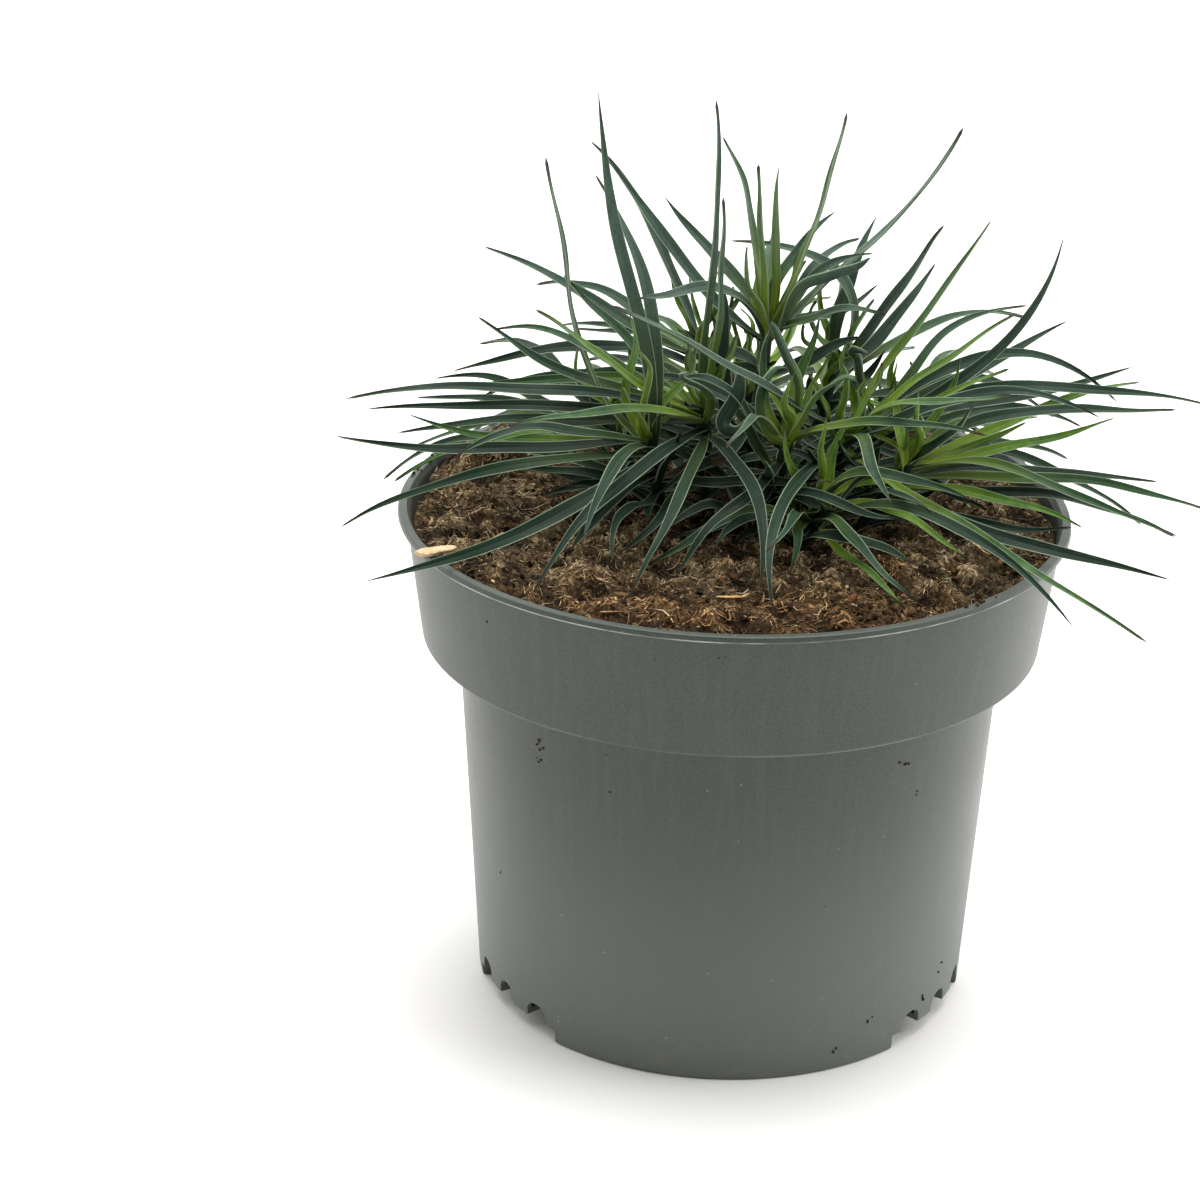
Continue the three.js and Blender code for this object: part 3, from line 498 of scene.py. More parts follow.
def limited(push):
    length = np.linalg.norm(push, axis=1, keepdims=True)
    return push * np.minimum(1, CLEARING_LIMIT / np.maximum(length, CLEARING_LIMIT))


def clearing_round(leaves, stems, all_pairs):
    boxes = leaf_boxes(leaves)
    pushes = {"bend": np.zeros_like(leaves["bend"]), "tip": np.zeros_like(leaves["tip"])}
    middle = (leaves["root"] + leaves["tip"]) / 2
    span = np.linalg.norm(middle - leaves["root"], axis=1)
    span = span + np.linalg.norm(middle - leaves["bend"], axis=1) / 2
    first, second = all_pairs
    distance = np.linalg.norm(middle[first] - middle[second], axis=1)
    near = distance <= span[first] + span[second] + leaves["width"][first]
    first, second = first[near], second[near]
    same_shoot = leaves["shoot"][first] == leaves["shoot"][second]
    counts = SAMPLES >= np.where(same_shoot, SHARED_BASE, 0.0)[:, None]
    first, second, i, j, depth, way = contacts(
        boxes, boxes, (first, second), CLEARING_GAP, counts[:, :, None] & counts[:, None])
    share = give(SAMPLES[i]) / (give(SAMPLES[i]) + give(SAMPLES[j]))
    distance = CLEARING_STEP * depth
    add_push(pushes, first, i, way, -distance * share)
    add_push(pushes, second, j, way, distance * (1 - share))
    leaf, _, spot, _, depth, way = contacts(boxes, stems, other_stems(leaves), CLEARING_GAP)
    add_push(pushes, leaf, spot, way, -CLEARING_STEP * depth)
    _, half_width, half_depth = np.moveaxis(boxes["halves"], 2, 0)
    tilt = np.abs(boxes["axes"][..., 2])
    missing = sinking(boxes["point"], half_width * tilt[..., 1] + half_depth * tilt[..., 2])
    leaf, spot = np.nonzero(missing > 0)
    rise = CLEARING_STEP * missing[leaf, spot]
    add_push(pushes, leaf, spot, np.tile(UP, (len(leaf), 1)), rise, RESTING_TIP_SHARE)
    pushes["tip"] += UP * CLEARING_STEP * np.maximum(sinking(leaves["tip"], 0), 0)[:, None]
    leaves["bend"] += limited(pushes["bend"])
    leaves["tip"] += limited(pushes["tip"])


def drop_touching(leaves, stems):
    """Filler leaves that still touch another shoot are left out."""
    boxes = leaf_boxes(leaves)
    count = len(leaves["width"])
    strangers = np.nonzero(leaves["shoot"][:, None] != leaves["shoot"])
    first, second, *_ = contacts(boxes, boxes, strangers, TOUCHING_GAP)
    touch = np.zeros((count, count), bool)
    touch[first, second] = True
    on_stem = np.zeros(count, bool)
    on_stem[contacts(boxes, stems, other_stems(leaves), TOUCHING_GAP)[0]] = True
    kept = np.ones(count, bool)
    for leaf in np.nonzero(leaves["filler"])[0]:
        kept[leaf] = not (on_stem[leaf] or (touch[leaf] & kept).any())
    return {key: rows[kept] for key, rows in leaves.items()}


def cleared_leaves():
    leaves = list_leaves()
    stems = stem_boxes()
    pairs = np.triu_indices(len(leaves["width"]), 1)
    for _ in range(CLEARING_ROUNDS):
        clearing_round(leaves, stems, pairs)
    leaves["tip"] += UP * np.maximum(0, sinking(leaves["tip"], 0))[:, None]
    return drop_touching(leaves, stems)


# ---- Mesh helpers ----


def show(name, data):
    """An object of the scene that holds a mesh, a camera or a light."""
    made = bpy.data.objects.new(name, data)
    bpy.context.scene.collection.objects.link(made)
    return made


def plain_mesh(name, points, faces):
    mesh = bpy.data.meshes.new(name)
    mesh.from_pydata((np.asarray(points) * MM).tolist(), [], faces)
    return mesh


def dress(name, mesh, material, sharp=None):
    """A smooth piece of the part, with sharp edges above an angle in degrees."""
    mesh.polygons.foreach_set("use_smooth", [True] * len(mesh.polygons))
    if sharp is not None:
        mesh.set_sharp_from_angle(angle=math.radians(sharp))
    mesh.name = name
    mesh.materials.clear()
    mesh.materials.append(material)
    piece = show(name, mesh)
    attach(piece, "root")
    return piece


def add_piece(name, points, faces, material, slot, values=None, sharp=None):
    """A piece from points in millimetres, with a number at each point for every value."""
    mesh = plain_mesh(name, points, faces)
    for key, numbers in (values or {}).items():
        layer = mesh.attributes.new(key, "FLOAT", "POINT")
        layer.data.foreach_set("value", np.asarray(numbers, np.float32).ravel())
    return dress(name, mesh, material, sharp)


def around_axis(count):
    """Angles spread evenly over a whole turn."""
    return np.linspace(0, ROUND, count, endpoint=False)


def turned(x, y, angle):
    """Coordinates turned by an angle."""
    return x * np.cos(angle) - y * np.sin(angle), x * np.sin(angle) + y * np.cos(angle)


def strip_faces(rings, around):
    """Four-cornered faces between rings of points that lie one after another."""
    ring = np.arange(rings - 1)[:, None] * around
    here = np.arange(around)[None, :]
    after = (here + 1) % around
    corners = [ring + here, ring + around + here, ring + around + after, ring + after]
    return np.stack(corners, axis=-1).reshape(-1, 4)


def tube_faces(rings, around, turn_ends=False):
    """Faces of a tube of rings that is closed by a flat face at each end."""
    last = (rings - 1) * around
    ends = [list(range(around))[::-1], list(range(last, last + around))]
    if turn_ends:
        ends = [end[::-1] for end in ends]
    return [*strip_faces(rings, around)[:, ::-1].tolist(), *ends]


def repeat_faces(faces, copies, stride):
    """The same faces for many copies of a shape whose points follow one another."""
    repeated = []
    shifts = np.arange(copies)[:, None, None] * stride
    for size in sorted({len(face) for face in faces}):
        same = np.array([face for face in faces if len(face) == size])
        repeated += (same[None] + shifts).reshape(-1, size).tolist()
    return repeated


def joined(shapes):
    """The points and faces of several shapes as one."""
    points, faces, start = [], [], 0
    for shape_points, shape_faces in shapes:
        points.append(shape_points)
        faces.extend([corner + start for corner in face] for face in shape_faces)
        start += len(shape_points)
    return np.concatenate(points), faces


def lathe(radius, height, ends):
    """Rings about Z with a point on the axis at each end, from the bottom to the top."""
    segments = height.shape[1]
    x, y = turned(radius[:, None], 0, around_axis(segments))
    rings = np.stack([x, y, height], axis=-1).reshape(-1, 3)
    points = np.concatenate([rings, [[0, 0, end] for end in ends]])
    faces = strip_faces(len(radius), segments)[:, ::-1].tolist()
    last = len(rings) - segments
    for k in range(segments):
        after = (k + 1) % segments
        faces.append([len(rings), after, k])
        faces.append([len(rings) + 1, last + k, last + after])
    return points, faces


# ---- Pot ----

FILLET_STEPS = 5
SUPPORT = 0.25
LONGEST_STRETCH = 8.0
CHANNEL_STEPS = 25
NOTCH_STEPS = 13
NOTCH_ARCH_SHARE = 0.8
POT_SHARP = 32

# Corners of the pot's half section: radius, height and how far the corner is rounded.
POT_PROFILE = (
    (0, 0, 0),
    (BODY_BOTTOM_RADIUS, 0, 0.9),
    (BODY_TOP_RADIUS, COLLAR_BOTTOM, 0.3),
    (COLLAR_BOTTOM_RADIUS, COLLAR_BOTTOM, 0.6),
    (COLLAR_TOP_RADIUS, POT_HEIGHT - LIP_HEIGHT, 0.3),
    (LIP_RADIUS - 0.1, POT_HEIGHT - LIP_HEIGHT, 0.22),
    (LIP_RADIUS - 0.35, POT_HEIGHT, 0.5),
    (COLLAR_TOP_RADIUS - 0.3, POT_HEIGHT, 0.3),
    (COLLAR_TOP_RADIUS - WALL, POT_HEIGHT - LIP_HEIGHT, 0.5),
    (COLLAR_BOTTOM_RADIUS - WALL, COLLAR_BOTTOM + WALL, 0.4),
    (BODY_TOP_RADIUS - WALL, COLLAR_BOTTOM + WALL, 0.4),
    (BODY_BOTTOM_RADIUS - WALL, FLOOR_THICKNESS, 0.6),
    (0, FLOOR_THICKNESS, 0),
)


def rounded_profile(corners):
    """Points [radius, height] of a section with its corners rounded."""
    corners = np.array(corners, float)
    places = corners[:, :2]
    points = [places[0]]
    t = np.linspace(0, 1, FILLET_STEPS + 1)[:, None]
    for before, place, after, rounding in zip(places, places[1:], places[2:], corners[1:, 2]):
        back, ahead = unit(before - place), unit(after - place)
        reach = rounding / math.tan(math.acos(np.clip(back @ ahead, -1, 1)) / 2)
        start, end = place + back * reach, place + ahead * reach
        stretch = np.linalg.norm(start - points[-1])
        if stretch > 3 * SUPPORT:
            parts = max(1, math.ceil((stretch - 2 * SUPPORT) / LONGEST_STRETCH))
            shares = np.linspace(SUPPORT / stretch, 1 - SUPPORT / stretch, parts + 1)
            points.extend(points[-1] + (start - points[-1]) * shares[:, None])
        points.extend(start * (1 - t) ** 2 + place * 2 * t * (1 - t) + end * t * t)
    return np.array([*points, places[-1]])


def prism(outline, bottom, top):
    """An outline raised from one height to another."""
    levels = [np.column_stack([outline, np.full(len(outline), level)]) for level in (bottom, top)]
    return np.concatenate(levels), tube_faces(2, len(outline))


def ring_slice(direction, half_angle, inner, outer, bottom, top):
    angle = np.radians(
        np.linspace(direction - half_angle, direction + half_angle, CHANNEL_STEPS))
    arc = np.column_stack([np.cos(angle), np.sin(angle)])
    return prism(np.concatenate([arc * outer, arc[::-1] * inner]), bottom, top)


def notch(direction):
    """An arched opening through the foot of the wall, along a direction."""
    half = NOTCH_WIDTH / 2
    arch = NOTCH_TOP - half * NOTCH_ARCH_SHARE
    turn = np.linspace(0, math.pi, NOTCH_STEPS)[1:-1]
    width = np.concatenate([[half, half], half * np.cos(turn), [-half, -half]])
    height = np.concatenate([[-1, arch], arch + (NOTCH_TOP - arch) * np.sin(turn), [arch, -1]])
    points, faces = prism(
        np.column_stack([width, height]), NOTCH_INNER_RADIUS, BODY_BOTTOM_RADIUS + 4)
    across, rise, out = points.T
    return np.column_stack([*turned(out, across, math.radians(direction)), rise]), faces


def helper_object(name, shapes):
    """Several shapes as one object, used to join or cut and then removed."""
    mesh = plain_mesh(name, *joined(shapes))
    work = bmesh.new()
    work.from_mesh(mesh)
    bmesh.ops.recalc_face_normals(work, faces=work.faces)
    work.to_mesh(mesh)
    work.free()
    return show(name, mesh)


def make_pot(material):
    """The thin pot, with three drained channels under its floor."""
    half = CHANNEL_ANGLE / 2
    plates, cuts = [], []
    for direction in CHANNEL_DIRECTIONS:
        plates.append(ring_slice(
            direction, half + 1, CHANNEL_INNER_RADIUS - WALL, BODY_BOTTOM_RADIUS - WALL / 2,
            FLOOR_THICKNESS / 2, CHANNEL_HEIGHT + FLOOR_THICKNESS))
        cuts.append(ring_slice(
            direction, half, CHANNEL_INNER_RADIUS, LIP_RADIUS, -1, CHANNEL_HEIGHT))
        cuts.extend(notch(direction + side * NOTCH_SPACING) for side in (-1, 0, 1))
    profile = rounded_profile(POT_PROFILE)
    heights = np.repeat(profile[1:-1, 1:], POT_SEGMENTS, axis=1)
    shell = helper_object("pot_shell", [lathe(profile[1:-1, 0], heights, profile[[0, -1], 1])])
    helpers = [shell]
    for operation, shapes in (("UNION", plates), ("DIFFERENCE", cuts)):
        helper = helper_object("pot_" + operation.lower(), shapes)
        joint = shell.modifiers.new(operation, "BOOLEAN")
        joint.operation = operation
        joint.object = helper
        joint.solver = "EXACT"
        joint.use_self = operation == "DIFFERENCE"
        helpers.append(helper)
    graph = bpy.context.evaluated_depsgraph_get()
    mesh = bpy.data.meshes.new_from_object(shell.evaluated_get(graph))
    for helper in helpers:
        bpy.data.objects.remove(helper)
    piece = dress("pot_fine", mesh, material, POT_SHARP)
    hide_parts("pot")


# ---- Soil ----

SOIL_RINGS = 108
SOIL_SEGMENTS = 420

# The soil's side, from the floor up: radius and height.
SOIL_SIDES = (
    (BODY_BOTTOM_RADIUS - WALL - CONTACT_GAP, 6.4),
    (BODY_TOP_RADIUS - WALL - CONTACT_GAP, 96.1),
    (COLLAR_BOTTOM_RADIUS - WALL - CONTACT_GAP, 96.1),
)

# Size of the lumps and how far they stand out. They are lower by the edge.
SOIL_LUMPS = ((9.0, 1.7), (4.2, 1.1), (2.1, 0.8), (1.1, 0.45))
LUMPS_SINK = 0.3
EDGE_CALM = 0.6
EDGE_CALM_START = 72
EDGE_CALM_WIDTH = 7

# Mats of fibre that stand up from the soil: x, y, height, spread.
SOIL_MATS = (
    (-37, -6, 3.2, 4.5), (-3.5, -38, 2.6, 1.9), (33.5, -37, 2.8, 3.6), (-33, -65, 1.7, 3.4),
    (-20, -71, 1.4, 3.0), (-6, -71, 1.5, 3.2), (7, -69, 1.4, 3.0), (19, -68, 1.3, 3.0),
    (-56, -22, 1.6, 4.0), (-64, 0, 1.3, 4.0), (58, -20, 1.5, 4.0), (44, -50, 1.4, 3.0),
)
RUSTY_MATS = SOIL_MATS[1:3]

# Size and shift of the noise for patches of warm peat, swirls and clumps of fibre.
LUMP_SHIFT = (40, 70)
PATCHES = (11, 17, 5)
SWIRLS = (5.5, 3, 9)
CLUMPS = (3.5, 60, 31)
PATCH_WARMTH = 0.35
FRONT_WARMTH = 0.6

# How pale the soil is: everywhere, then painted shade, paler on each millimetre of a lump and
# darker in the gaps, and darker along the front.
BED_SHADE = 0.23
LUMP_PAINTED_SHADE = 0.13
FRONT_PAINTED_SHADE = 0.16
FRONT_START = 38
FRONT_WIDTH = 30

soil_random = np.random.default_rng(21)
NOISE_TABLE = soil_random.random((128, 128))


def value_noise(x, y, size, shift_x, shift_y):
    """Smooth noise from 0 to 1 over a plane, with features of a size, shifted in the table."""
    x, y = x / size + shift_x, y / size + shift_y
    column, row = np.floor(x).astype(int), np.floor(y).astype(int)
    u, v = x - column, y - row
    u, v = u * u * (3 - 2 * u), v * v * (3 - 2 * v)
    side = len(NOISE_TABLE)

    def along(row):
        line = NOISE_TABLE[row % side, column % side] * (1 - u)
        return line + NOISE_TABLE[row % side, (column + 1) % side] * u

    return along(row) * (1 - v) + along(row + 1) * v


def edge_calm(x, y):
    return 1 - EDGE_CALM * np.clip((np.hypot(x, y) - EDGE_CALM_START) / EDGE_CALM_WIDTH, 0, 1)


def front_share(y):
    """From 0 in the middle of the soil to 1 by its front edge."""
    return np.clip((-y - FRONT_START) / FRONT_WIDTH, 0, 1)


def bed_relief(x, y):
    """How far the soil's lumps stand out."""
    relief = 0
    for size, reach in SOIL_LUMPS:
        noise = value_noise(x, y, size, *LUMP_SHIFT)
        relief = relief + edge_calm(x, y) * reach * (1 - 2 * np.abs(2 * noise - 1))
    return relief


def bed_height(x, y):
    """The height of the soil with its mats and lumps."""
    height = soil_height(x, y)
    for mat in SOIL_MATS:
        height = height + edge_calm(x, y) * bump(mat, x, y)
    return height + bed_relief(x, y) - LUMPS_SINK


def bed_tone_and_painted_shade(x, y):
    """Painted shade: paler on the lumps, dark in the gaps between them and darker along the front.
    """
    return BED_SHADE + LUMP_PAINTED_SHADE * bed_relief(x, y) - FRONT_PAINTED_SHADE * front_share(y)


def bed_warmth(x, y):
    """Rust-brown peat by the front edge and in patches, olive-brown elsewhere."""
    warmth = PATCH_WARMTH * value_noise(x, y, *PATCHES) + FRONT_WARMTH * front_share(y)
    for mat_x, mat_y, _, spread in RUSTY_MATS:
        warmth = warmth + bump((mat_x, mat_y, FRONT_WARMTH, spread), x, y)
    return np.clip(warmth, 0, 1)


def make_soil(material):
    """The soil as one body: a flat underside, the inside of the pot and a lumpy top."""
    side_radius, side_height = np.array(SOIL_SIDES).T
    top_radius = SOIL_RADIUS * np.arange(SOIL_RINGS, 0, -1) / SOIL_RINGS
    radius = np.concatenate([side_radius, top_radius])
    height = bed_height(*turned(radius[:, None], 0, around_axis(SOIL_SEGMENTS)))
    height[:len(side_height)] = side_height[:, None]
    middle = bed_height(np.zeros(1), np.zeros(1))[0]
    points, faces = lathe(radius, height, (side_height[0], middle))
    x, y = points[:, 0], points[:, 1]
    # The shade holds painted shade in the gaps and along the front.
    values = {"shade": bed_tone_and_painted_shade(x, y), "tint": bed_warmth(x, y)}
    piece = add_piece("soil_bed", points, faces, material, "potting_soil", values)
    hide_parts("soil")


def scattered(count, reach, random):
    """Points spread evenly over the soil, inside a radius."""
    radius = reach * np.sqrt(random.random(count))
    return turned(radius, 0, ROUND * random.random(count))


def add_loose(name, shapes, faces, shade, tint, material, sharp=None):
    """Many bits of the same faces, each with its own points, shade and tint."""
    count, stride = shapes.shape[:2]
    values = {"shade": np.repeat(shade, stride), "tint": np.repeat(tint, stride)}
    add_piece(
        name, shapes.reshape(-1, 3), repeat_faces(faces, count, stride), material,
        "potting_soil", values, sharp)


FIBRE_SHARES = np.array([-0.5, -0.16, 0.2, 0.5])
FIBRE_TAPER = np.array([0.45, 1.0, 0.9, 0.35])
FIBRE_CORNERS = np.array([0.5, 7 / 6, 11 / 6]) * math.pi
FIBRE_BEND = 0.9
FIBRE_LIFT = 0.6
FIBRE_END_LIFT = 1.6
FIBRE_SINK = 0.2
FIBRE_EDGE = 0.5


def add_fibres(name, rows, material, random, flat):
    """Bent fibres of three sides that lie on the soil, from rows of one number for each."""
    count, steps = len(rows["x"]), len(FIBRE_SHARES)
    share = FIBRE_SHARES[None, :]
    lift = rows["lift"][:, None]
    turn = rows["heading"][:, None] + random.normal(0, FIBRE_BEND, count)[:, None] * share
    ahead, aside = turned(share * rows["length"][:, None], 0, turn)
    path_x, path_y = rows["x"][:, None] + ahead, rows["y"][:, None] + aside
    shrink = np.minimum(1, (SOIL_RADIUS - FIBRE_EDGE) / np.hypot(path_x, path_y))
    path_x, path_y = path_x * shrink, path_y * shrink
    ground = bed_height(path_x, path_y)
    level = (ground + ground.mean(axis=1, keepdims=True)) / 2
    ends = random.random((count, 2)) * lift * FIBRE_END_LIFT
    rise = lift * FIBRE_LIFT + ends[:, :1] * (0.5 - share) ** 2
    rise = rise + ends[:, 1:] * (0.5 + share) ** 2 + np.maximum(level, ground - FIBRE_SINK)
    path = np.stack([path_x, path_y, rise], axis=-1)
    along = unit(np.gradient(path, axis=1))
    side = unit(np.cross(along, UP))
    over = np.cross(side, along)
    corner = FIBRE_CORNERS[None, None, :, None] + ROUND * random.random((count, 1, 1, 1))
    reach = rows["radius"][:, None, None, None] * FIBRE_TAPER[None, :, None, None]
    shapes = (
        path[:, :, None] + side[:, :, None] * np.cos(corner) * reach * flat
        + over[:, :, None] * np.sin(corner) * reach)
    faces = tube_faces(steps, len(FIBRE_CORNERS), turn_ends=True)
    add_loose(name, shapes.reshape(count, -1, 3), faces, rows["shade"], rows["tint"], material)


CRUMB_DIVISIONS = 2
CRUMB_LEAST = (0.6, 0.6, 0.42)
CRUMB_MOST = (1.2, 1.0, 0.7)
CRUMB_ROUGHNESS = 0.24
CRUMB_LIMITS = (0.6, 1.5)
CRUMB_SHARP = 50
BARK_CORNERS = 7
BARK_UNEVEN = 0.4
BARK_REACH = (0.65, 1.1)
BARK_TOP_SHARE = 0.86
BARK_TILT = 0.35
BARK_RISE = 0.15
BARK_SHARP = 35


def ball_template():
    work = bmesh.new()
    bmesh.ops.create_icosphere(work, subdivisions=CRUMB_DIVISIONS, radius=1)
    points = np.array([tuple(corner.co) for corner in work.verts])
    faces = [[corner.index for corner in face.verts] for face in work.faces]
    work.free()
    return points, faces


def add_crumbs(name, centres, size, shade, material, random):
    """Rough lumps of earth at the centres, turned every way."""
    template, faces = ball_template()
    count = len(centres)
    stretch = size[:, None] * random.uniform(CRUMB_LEAST, CRUMB_MOST, (count, 3))
    rough = 1 + CRUMB_ROUGHNESS * random.normal(size=(count, len(template), 1))
    shapes = template[None] * np.clip(rough, *CRUMB_LIMITS) * stretch[:, None]
    spin = unit(random.normal(size=(count, 1, 4)))
    half, axis = spin[..., :1], np.broadcast_to(spin[..., 1:], shapes.shape)
    shapes = shapes + 2 * np.cross(axis, np.cross(axis, shapes) + half * shapes)
    add_loose(
        name, shapes + centres[:, None], faces, shade, random.random(count), material, CRUMB_SHARP)


def add_bark(name, x, y, size, shade, material, random, slim=0.5, thick=0.16):
    """Flat bits of bark and peat with ragged outlines."""
    count, corners = len(x), BARK_CORNERS
    angle = around_axis(corners) + BARK_UNEVEN * random.random((count, corners))
    reach = random.uniform(*BARK_REACH, (count, corners)) * size[:, None]
    across, aside = turned(reach, 0, angle)
    rise = np.broadcast_to(size[:, None] * thick, reach.shape)
    low = np.stack([across, slim * aside, -rise], axis=-1)
    shapes = np.concatenate([low, low * (BARK_TOP_SHARE, BARK_TOP_SHARE, -1)], axis=1)
    spin = ROUND * random.random((count, 1))
    tilt = random.normal(0, BARK_TILT, (count, 1))
    out, up = turned(shapes[..., 0], shapes[..., 2], tilt)
    shapes = np.stack([*turned(out, shapes[..., 1], spin), up], axis=-1)
    centre = np.stack([x, y, bed_height(x, y) + BARK_RISE * size], axis=-1)
    add_loose(
        name, shapes + centre[:, None], tube_faces(2, corners), shade, random.random(count),
        material, BARK_SHARP)


# Pale straws on the soil: x, y, heading in degrees, length, radius.
STRAWS = (
    (-1, -56, 32, 10, 0.42), (-58, -21, 8, 12, 0.5), (-55, -20, 20, 9, 0.4), (-48, -1, 22, 9, 0.16),
    (-66, -18, 65, 6, 0.42), (5, -58, 80, 6, 0.16), (-73, 15, 85, 4, 0.25), (-30, -67, 12, 6, 0.3),
)
LOOSE_STRAWS = 70
FIBRES = 7000
CRUMBS = 900
BARK_BITS = 240
FLAKES = 2000

# Sizes in millimetres: mean and spread of their logarithm, then the least and the most.
FIBRE_LENGTHS = (0.75, 0.5, 0.8, 6.0)
STRAW_LENGTHS = (1.4, 0.4, 2, 9)
CRUMB_SIZES = (-0.4, 0.4, 0.3, 1.5)
BARK_SIZES = (0.1, 0.4, 0.6, 2.6)
FLAKE_SIZES = (-0.35, 0.35, 0.35, 1.5)

# How dark the darkest bits are, and how much paler whole clumps of fibres are.
DARKEST = 0.02
CLUMP_SHADE = 0.65


def many_sizes(count, sizes, random):
    """Sizes of many bits, most of them small."""
    mean, spread, least, most = sizes
    return np.clip(random.lognormal(mean, spread, count), least, most)


def fibre_rows(random):
    """Fibres spread over the soil and combed into clumps."""
    x, y = scattered(FIBRES, SOIL_RADIUS - 0.8, random)
    combed = 2 * ROUND * value_noise(x, y, *SWIRLS)
    # The fibres take the bed's painted shade, darker in the gaps and along the front.
    shade = bed_tone_and_painted_shade(x, y) + CLUMP_SHADE * value_noise(x, y, *CLUMPS)
    return {
        "x": x, "y": y,
        "heading": combed + random.normal(0, 0.75, FIBRES),
        "length": many_sizes(FIBRES, FIBRE_LENGTHS, random),
        "radius": random.uniform(0.06, 0.17, FIBRES),
        "lift": random.uniform(0.05, 0.75, FIBRES),
        "shade": np.clip(shade + random.normal(-0.1, 0.24, FIBRES), DARKEST, 1),
        "tint": np.clip(bed_warmth(x, y) + random.normal(0, 0.2, FIBRES), 0, 1),
    }


def straw_rows(random):
    """The pale straws, most of them small ones that lie anywhere."""
    x, y = scattered(LOOSE_STRAWS, SOIL_RADIUS - 4, random)
    rows = np.column_stack([
        x, y, 360 * random.random(LOOSE_STRAWS),
        many_sizes(LOOSE_STRAWS, STRAW_LENGTHS, random),
        random.uniform(0.12, 0.26, LOOSE_STRAWS)])
    x, y, heading, length, radius = np.concatenate([STRAWS, rows]).T
    count = len(x)
    return {
        "x": x, "y": y, "heading": np.radians(heading), "length": length, "radius": radius,
        "lift": random.uniform(0.5, 1.1, count), "shade": random.uniform(0.72, 0.95, count),
        "tint": random.uniform(0.2, 0.8, count),
    }


def dress_soil(fibre, crumb, bark):
    """The loose stuff on the soil: fibres of peat, straws, crumbs, bark and flakes."""
    random = soil_random
    add_fibres("soil_fibres", fibre_rows(random), fibre, random, 1.3)
    add_fibres("soil_fibres_more", fibre_rows(random), fibre, random, 1.3)
    add_fibres("soil_straws", straw_rows(random), fibre, random, 1.7)
    x, y = scattered(CRUMBS, SOIL_RADIUS - 1.2, random)
    size = many_sizes(CRUMBS, CRUMB_SIZES, random)
    centres = np.stack([x, y, bed_height(x, y) + 0.2 * size], axis=-1)
    add_crumbs("soil_crumbs", centres, size, random.beta(1.6, 3.4, CRUMBS), crumb, random)
    x, y = scattered(BARK_BITS, SOIL_RADIUS - 2.5, random)
    size = many_sizes(BARK_BITS, BARK_SIZES, random)
    add_bark("soil_bark", x, y, size, random.beta(1.5, 2.2, BARK_BITS), bark, random)
    x, y = scattered(FLAKES, SOIL_RADIUS - 1.5, random)
    size = many_sizes(FLAKES, FLAKE_SIZES, random)
    # The flakes take the bed's painted shade too.
    shade = np.clip(bed_tone_and_painted_shade(x, y) + random.normal(0.25, 0.22, FLAKES), DARKEST, 1)
    add_bark("soil_flakes", x, y, size, shade, fibre, random, 0.42, 0.12)


# ---- Dirt on the pot ----

# Bits of dirt on the outside: direction in degrees, height, size and how many.
POT_DIRT = (
    (-133.4, 83.5, 0.55, 5), (-133.6, 78.8, 0.45, 3), (-137.4, 117.4, 0.5, 1),
    (-94.4, 121.9, 0.35, 2), (-94.0, 99.2, 0.3, 1), (-116.9, 86.6, 0.3, 1),
    (-116.1, 76.9, 0.3, 1), (-54.5, 82.2, 0.55, 4), (-48.8, 72.8, 0.4, 2), (-56.2, 11.5, 0.6, 2),
    (-31.9, 15.9, 0.5, 2), (-37.9, 9.7, 0.6, 3), (-64.3, 5.6, 0.5, 2), (-104.4, 119.2, 0.3, 1),
    (-70.0, 48.0, 0.25, 1), (-150.0, 40.0, 0.3, 2), (60.0, 60.0, 0.35, 3), (140.0, 30.0, 0.4, 3),
    (100.0, 105.0, 0.35, 2), (15.0, 112.0, 0.35, 2),
)
DIRT_SPREAD = 0.9
DIRT_RADIUS = 70
DIRT_SIZES = (0.5, 1.0)
DIRT_SHADES = (0.1, 0.4)

# Crumbs that lie on the rim: first and last direction in degrees, and how many.
RIM_CRUMBS = ((150, 172, 14), (-52, -44, 5), (40, 130, 8))
RIM_CRUMB_RADII = (LIP_RADIUS - 2.6, LIP_RADIUS - 0.7)
RIM_CRUMB_SIZES = (0.3, 0.8)
RIM_CRUMB_RISE = 0.4


def wall_radius(height):
    """The pot's outer radius at a height."""
    body = BODY_BOTTOM_RADIUS + (BODY_TOP_RADIUS - BODY_BOTTOM_RADIUS) * height / COLLAR_BOTTOM
    share = (height - COLLAR_BOTTOM) / (POT_HEIGHT - LIP_HEIGHT - COLLAR_BOTTOM)
    collar = COLLAR_BOTTOM_RADIUS + (COLLAR_TOP_RADIUS - COLLAR_BOTTOM_RADIUS) * share
    return np.where(height < COLLAR_BOTTOM, body, collar)


def dirty_pot(material):
    """Small bits of dirt that stick to the wall and crumbs of soil that lie on the rim."""
    random = np.random.default_rng(64)
    centres, size = [], []
    for direction, height, grain, count in POT_DIRT:
        height = height + random.normal(0, DIRT_SPREAD, count) * (count > 1)
        swing = random.normal(0, DIRT_SPREAD / DIRT_RADIUS, count) * (count > 1)
        angle = math.radians(direction) + swing
        centres.append(np.column_stack([*turned(wall_radius(height), 0, angle), height]))
        size.append(grain * random.uniform(*DIRT_SIZES, count))
    for first, last, count in RIM_CRUMBS:
        angle = np.radians(random.uniform(first, last, count))
        out = random.uniform(*RIM_CRUMB_RADII, count)
        grain = random.uniform(*RIM_CRUMB_SIZES, count)
        rise = POT_HEIGHT + RIM_CRUMB_RISE * grain
        centres.append(np.column_stack([*turned(out, 0, angle), rise]))
        size.append(grain)
    centres, size = np.concatenate(centres), np.concatenate(size)
    shade = random.uniform(*DIRT_SHADES, len(size))
    add_crumbs("pot_dirt", centres, size, shade, material, random)


# ---- Wood chip on the rim ----

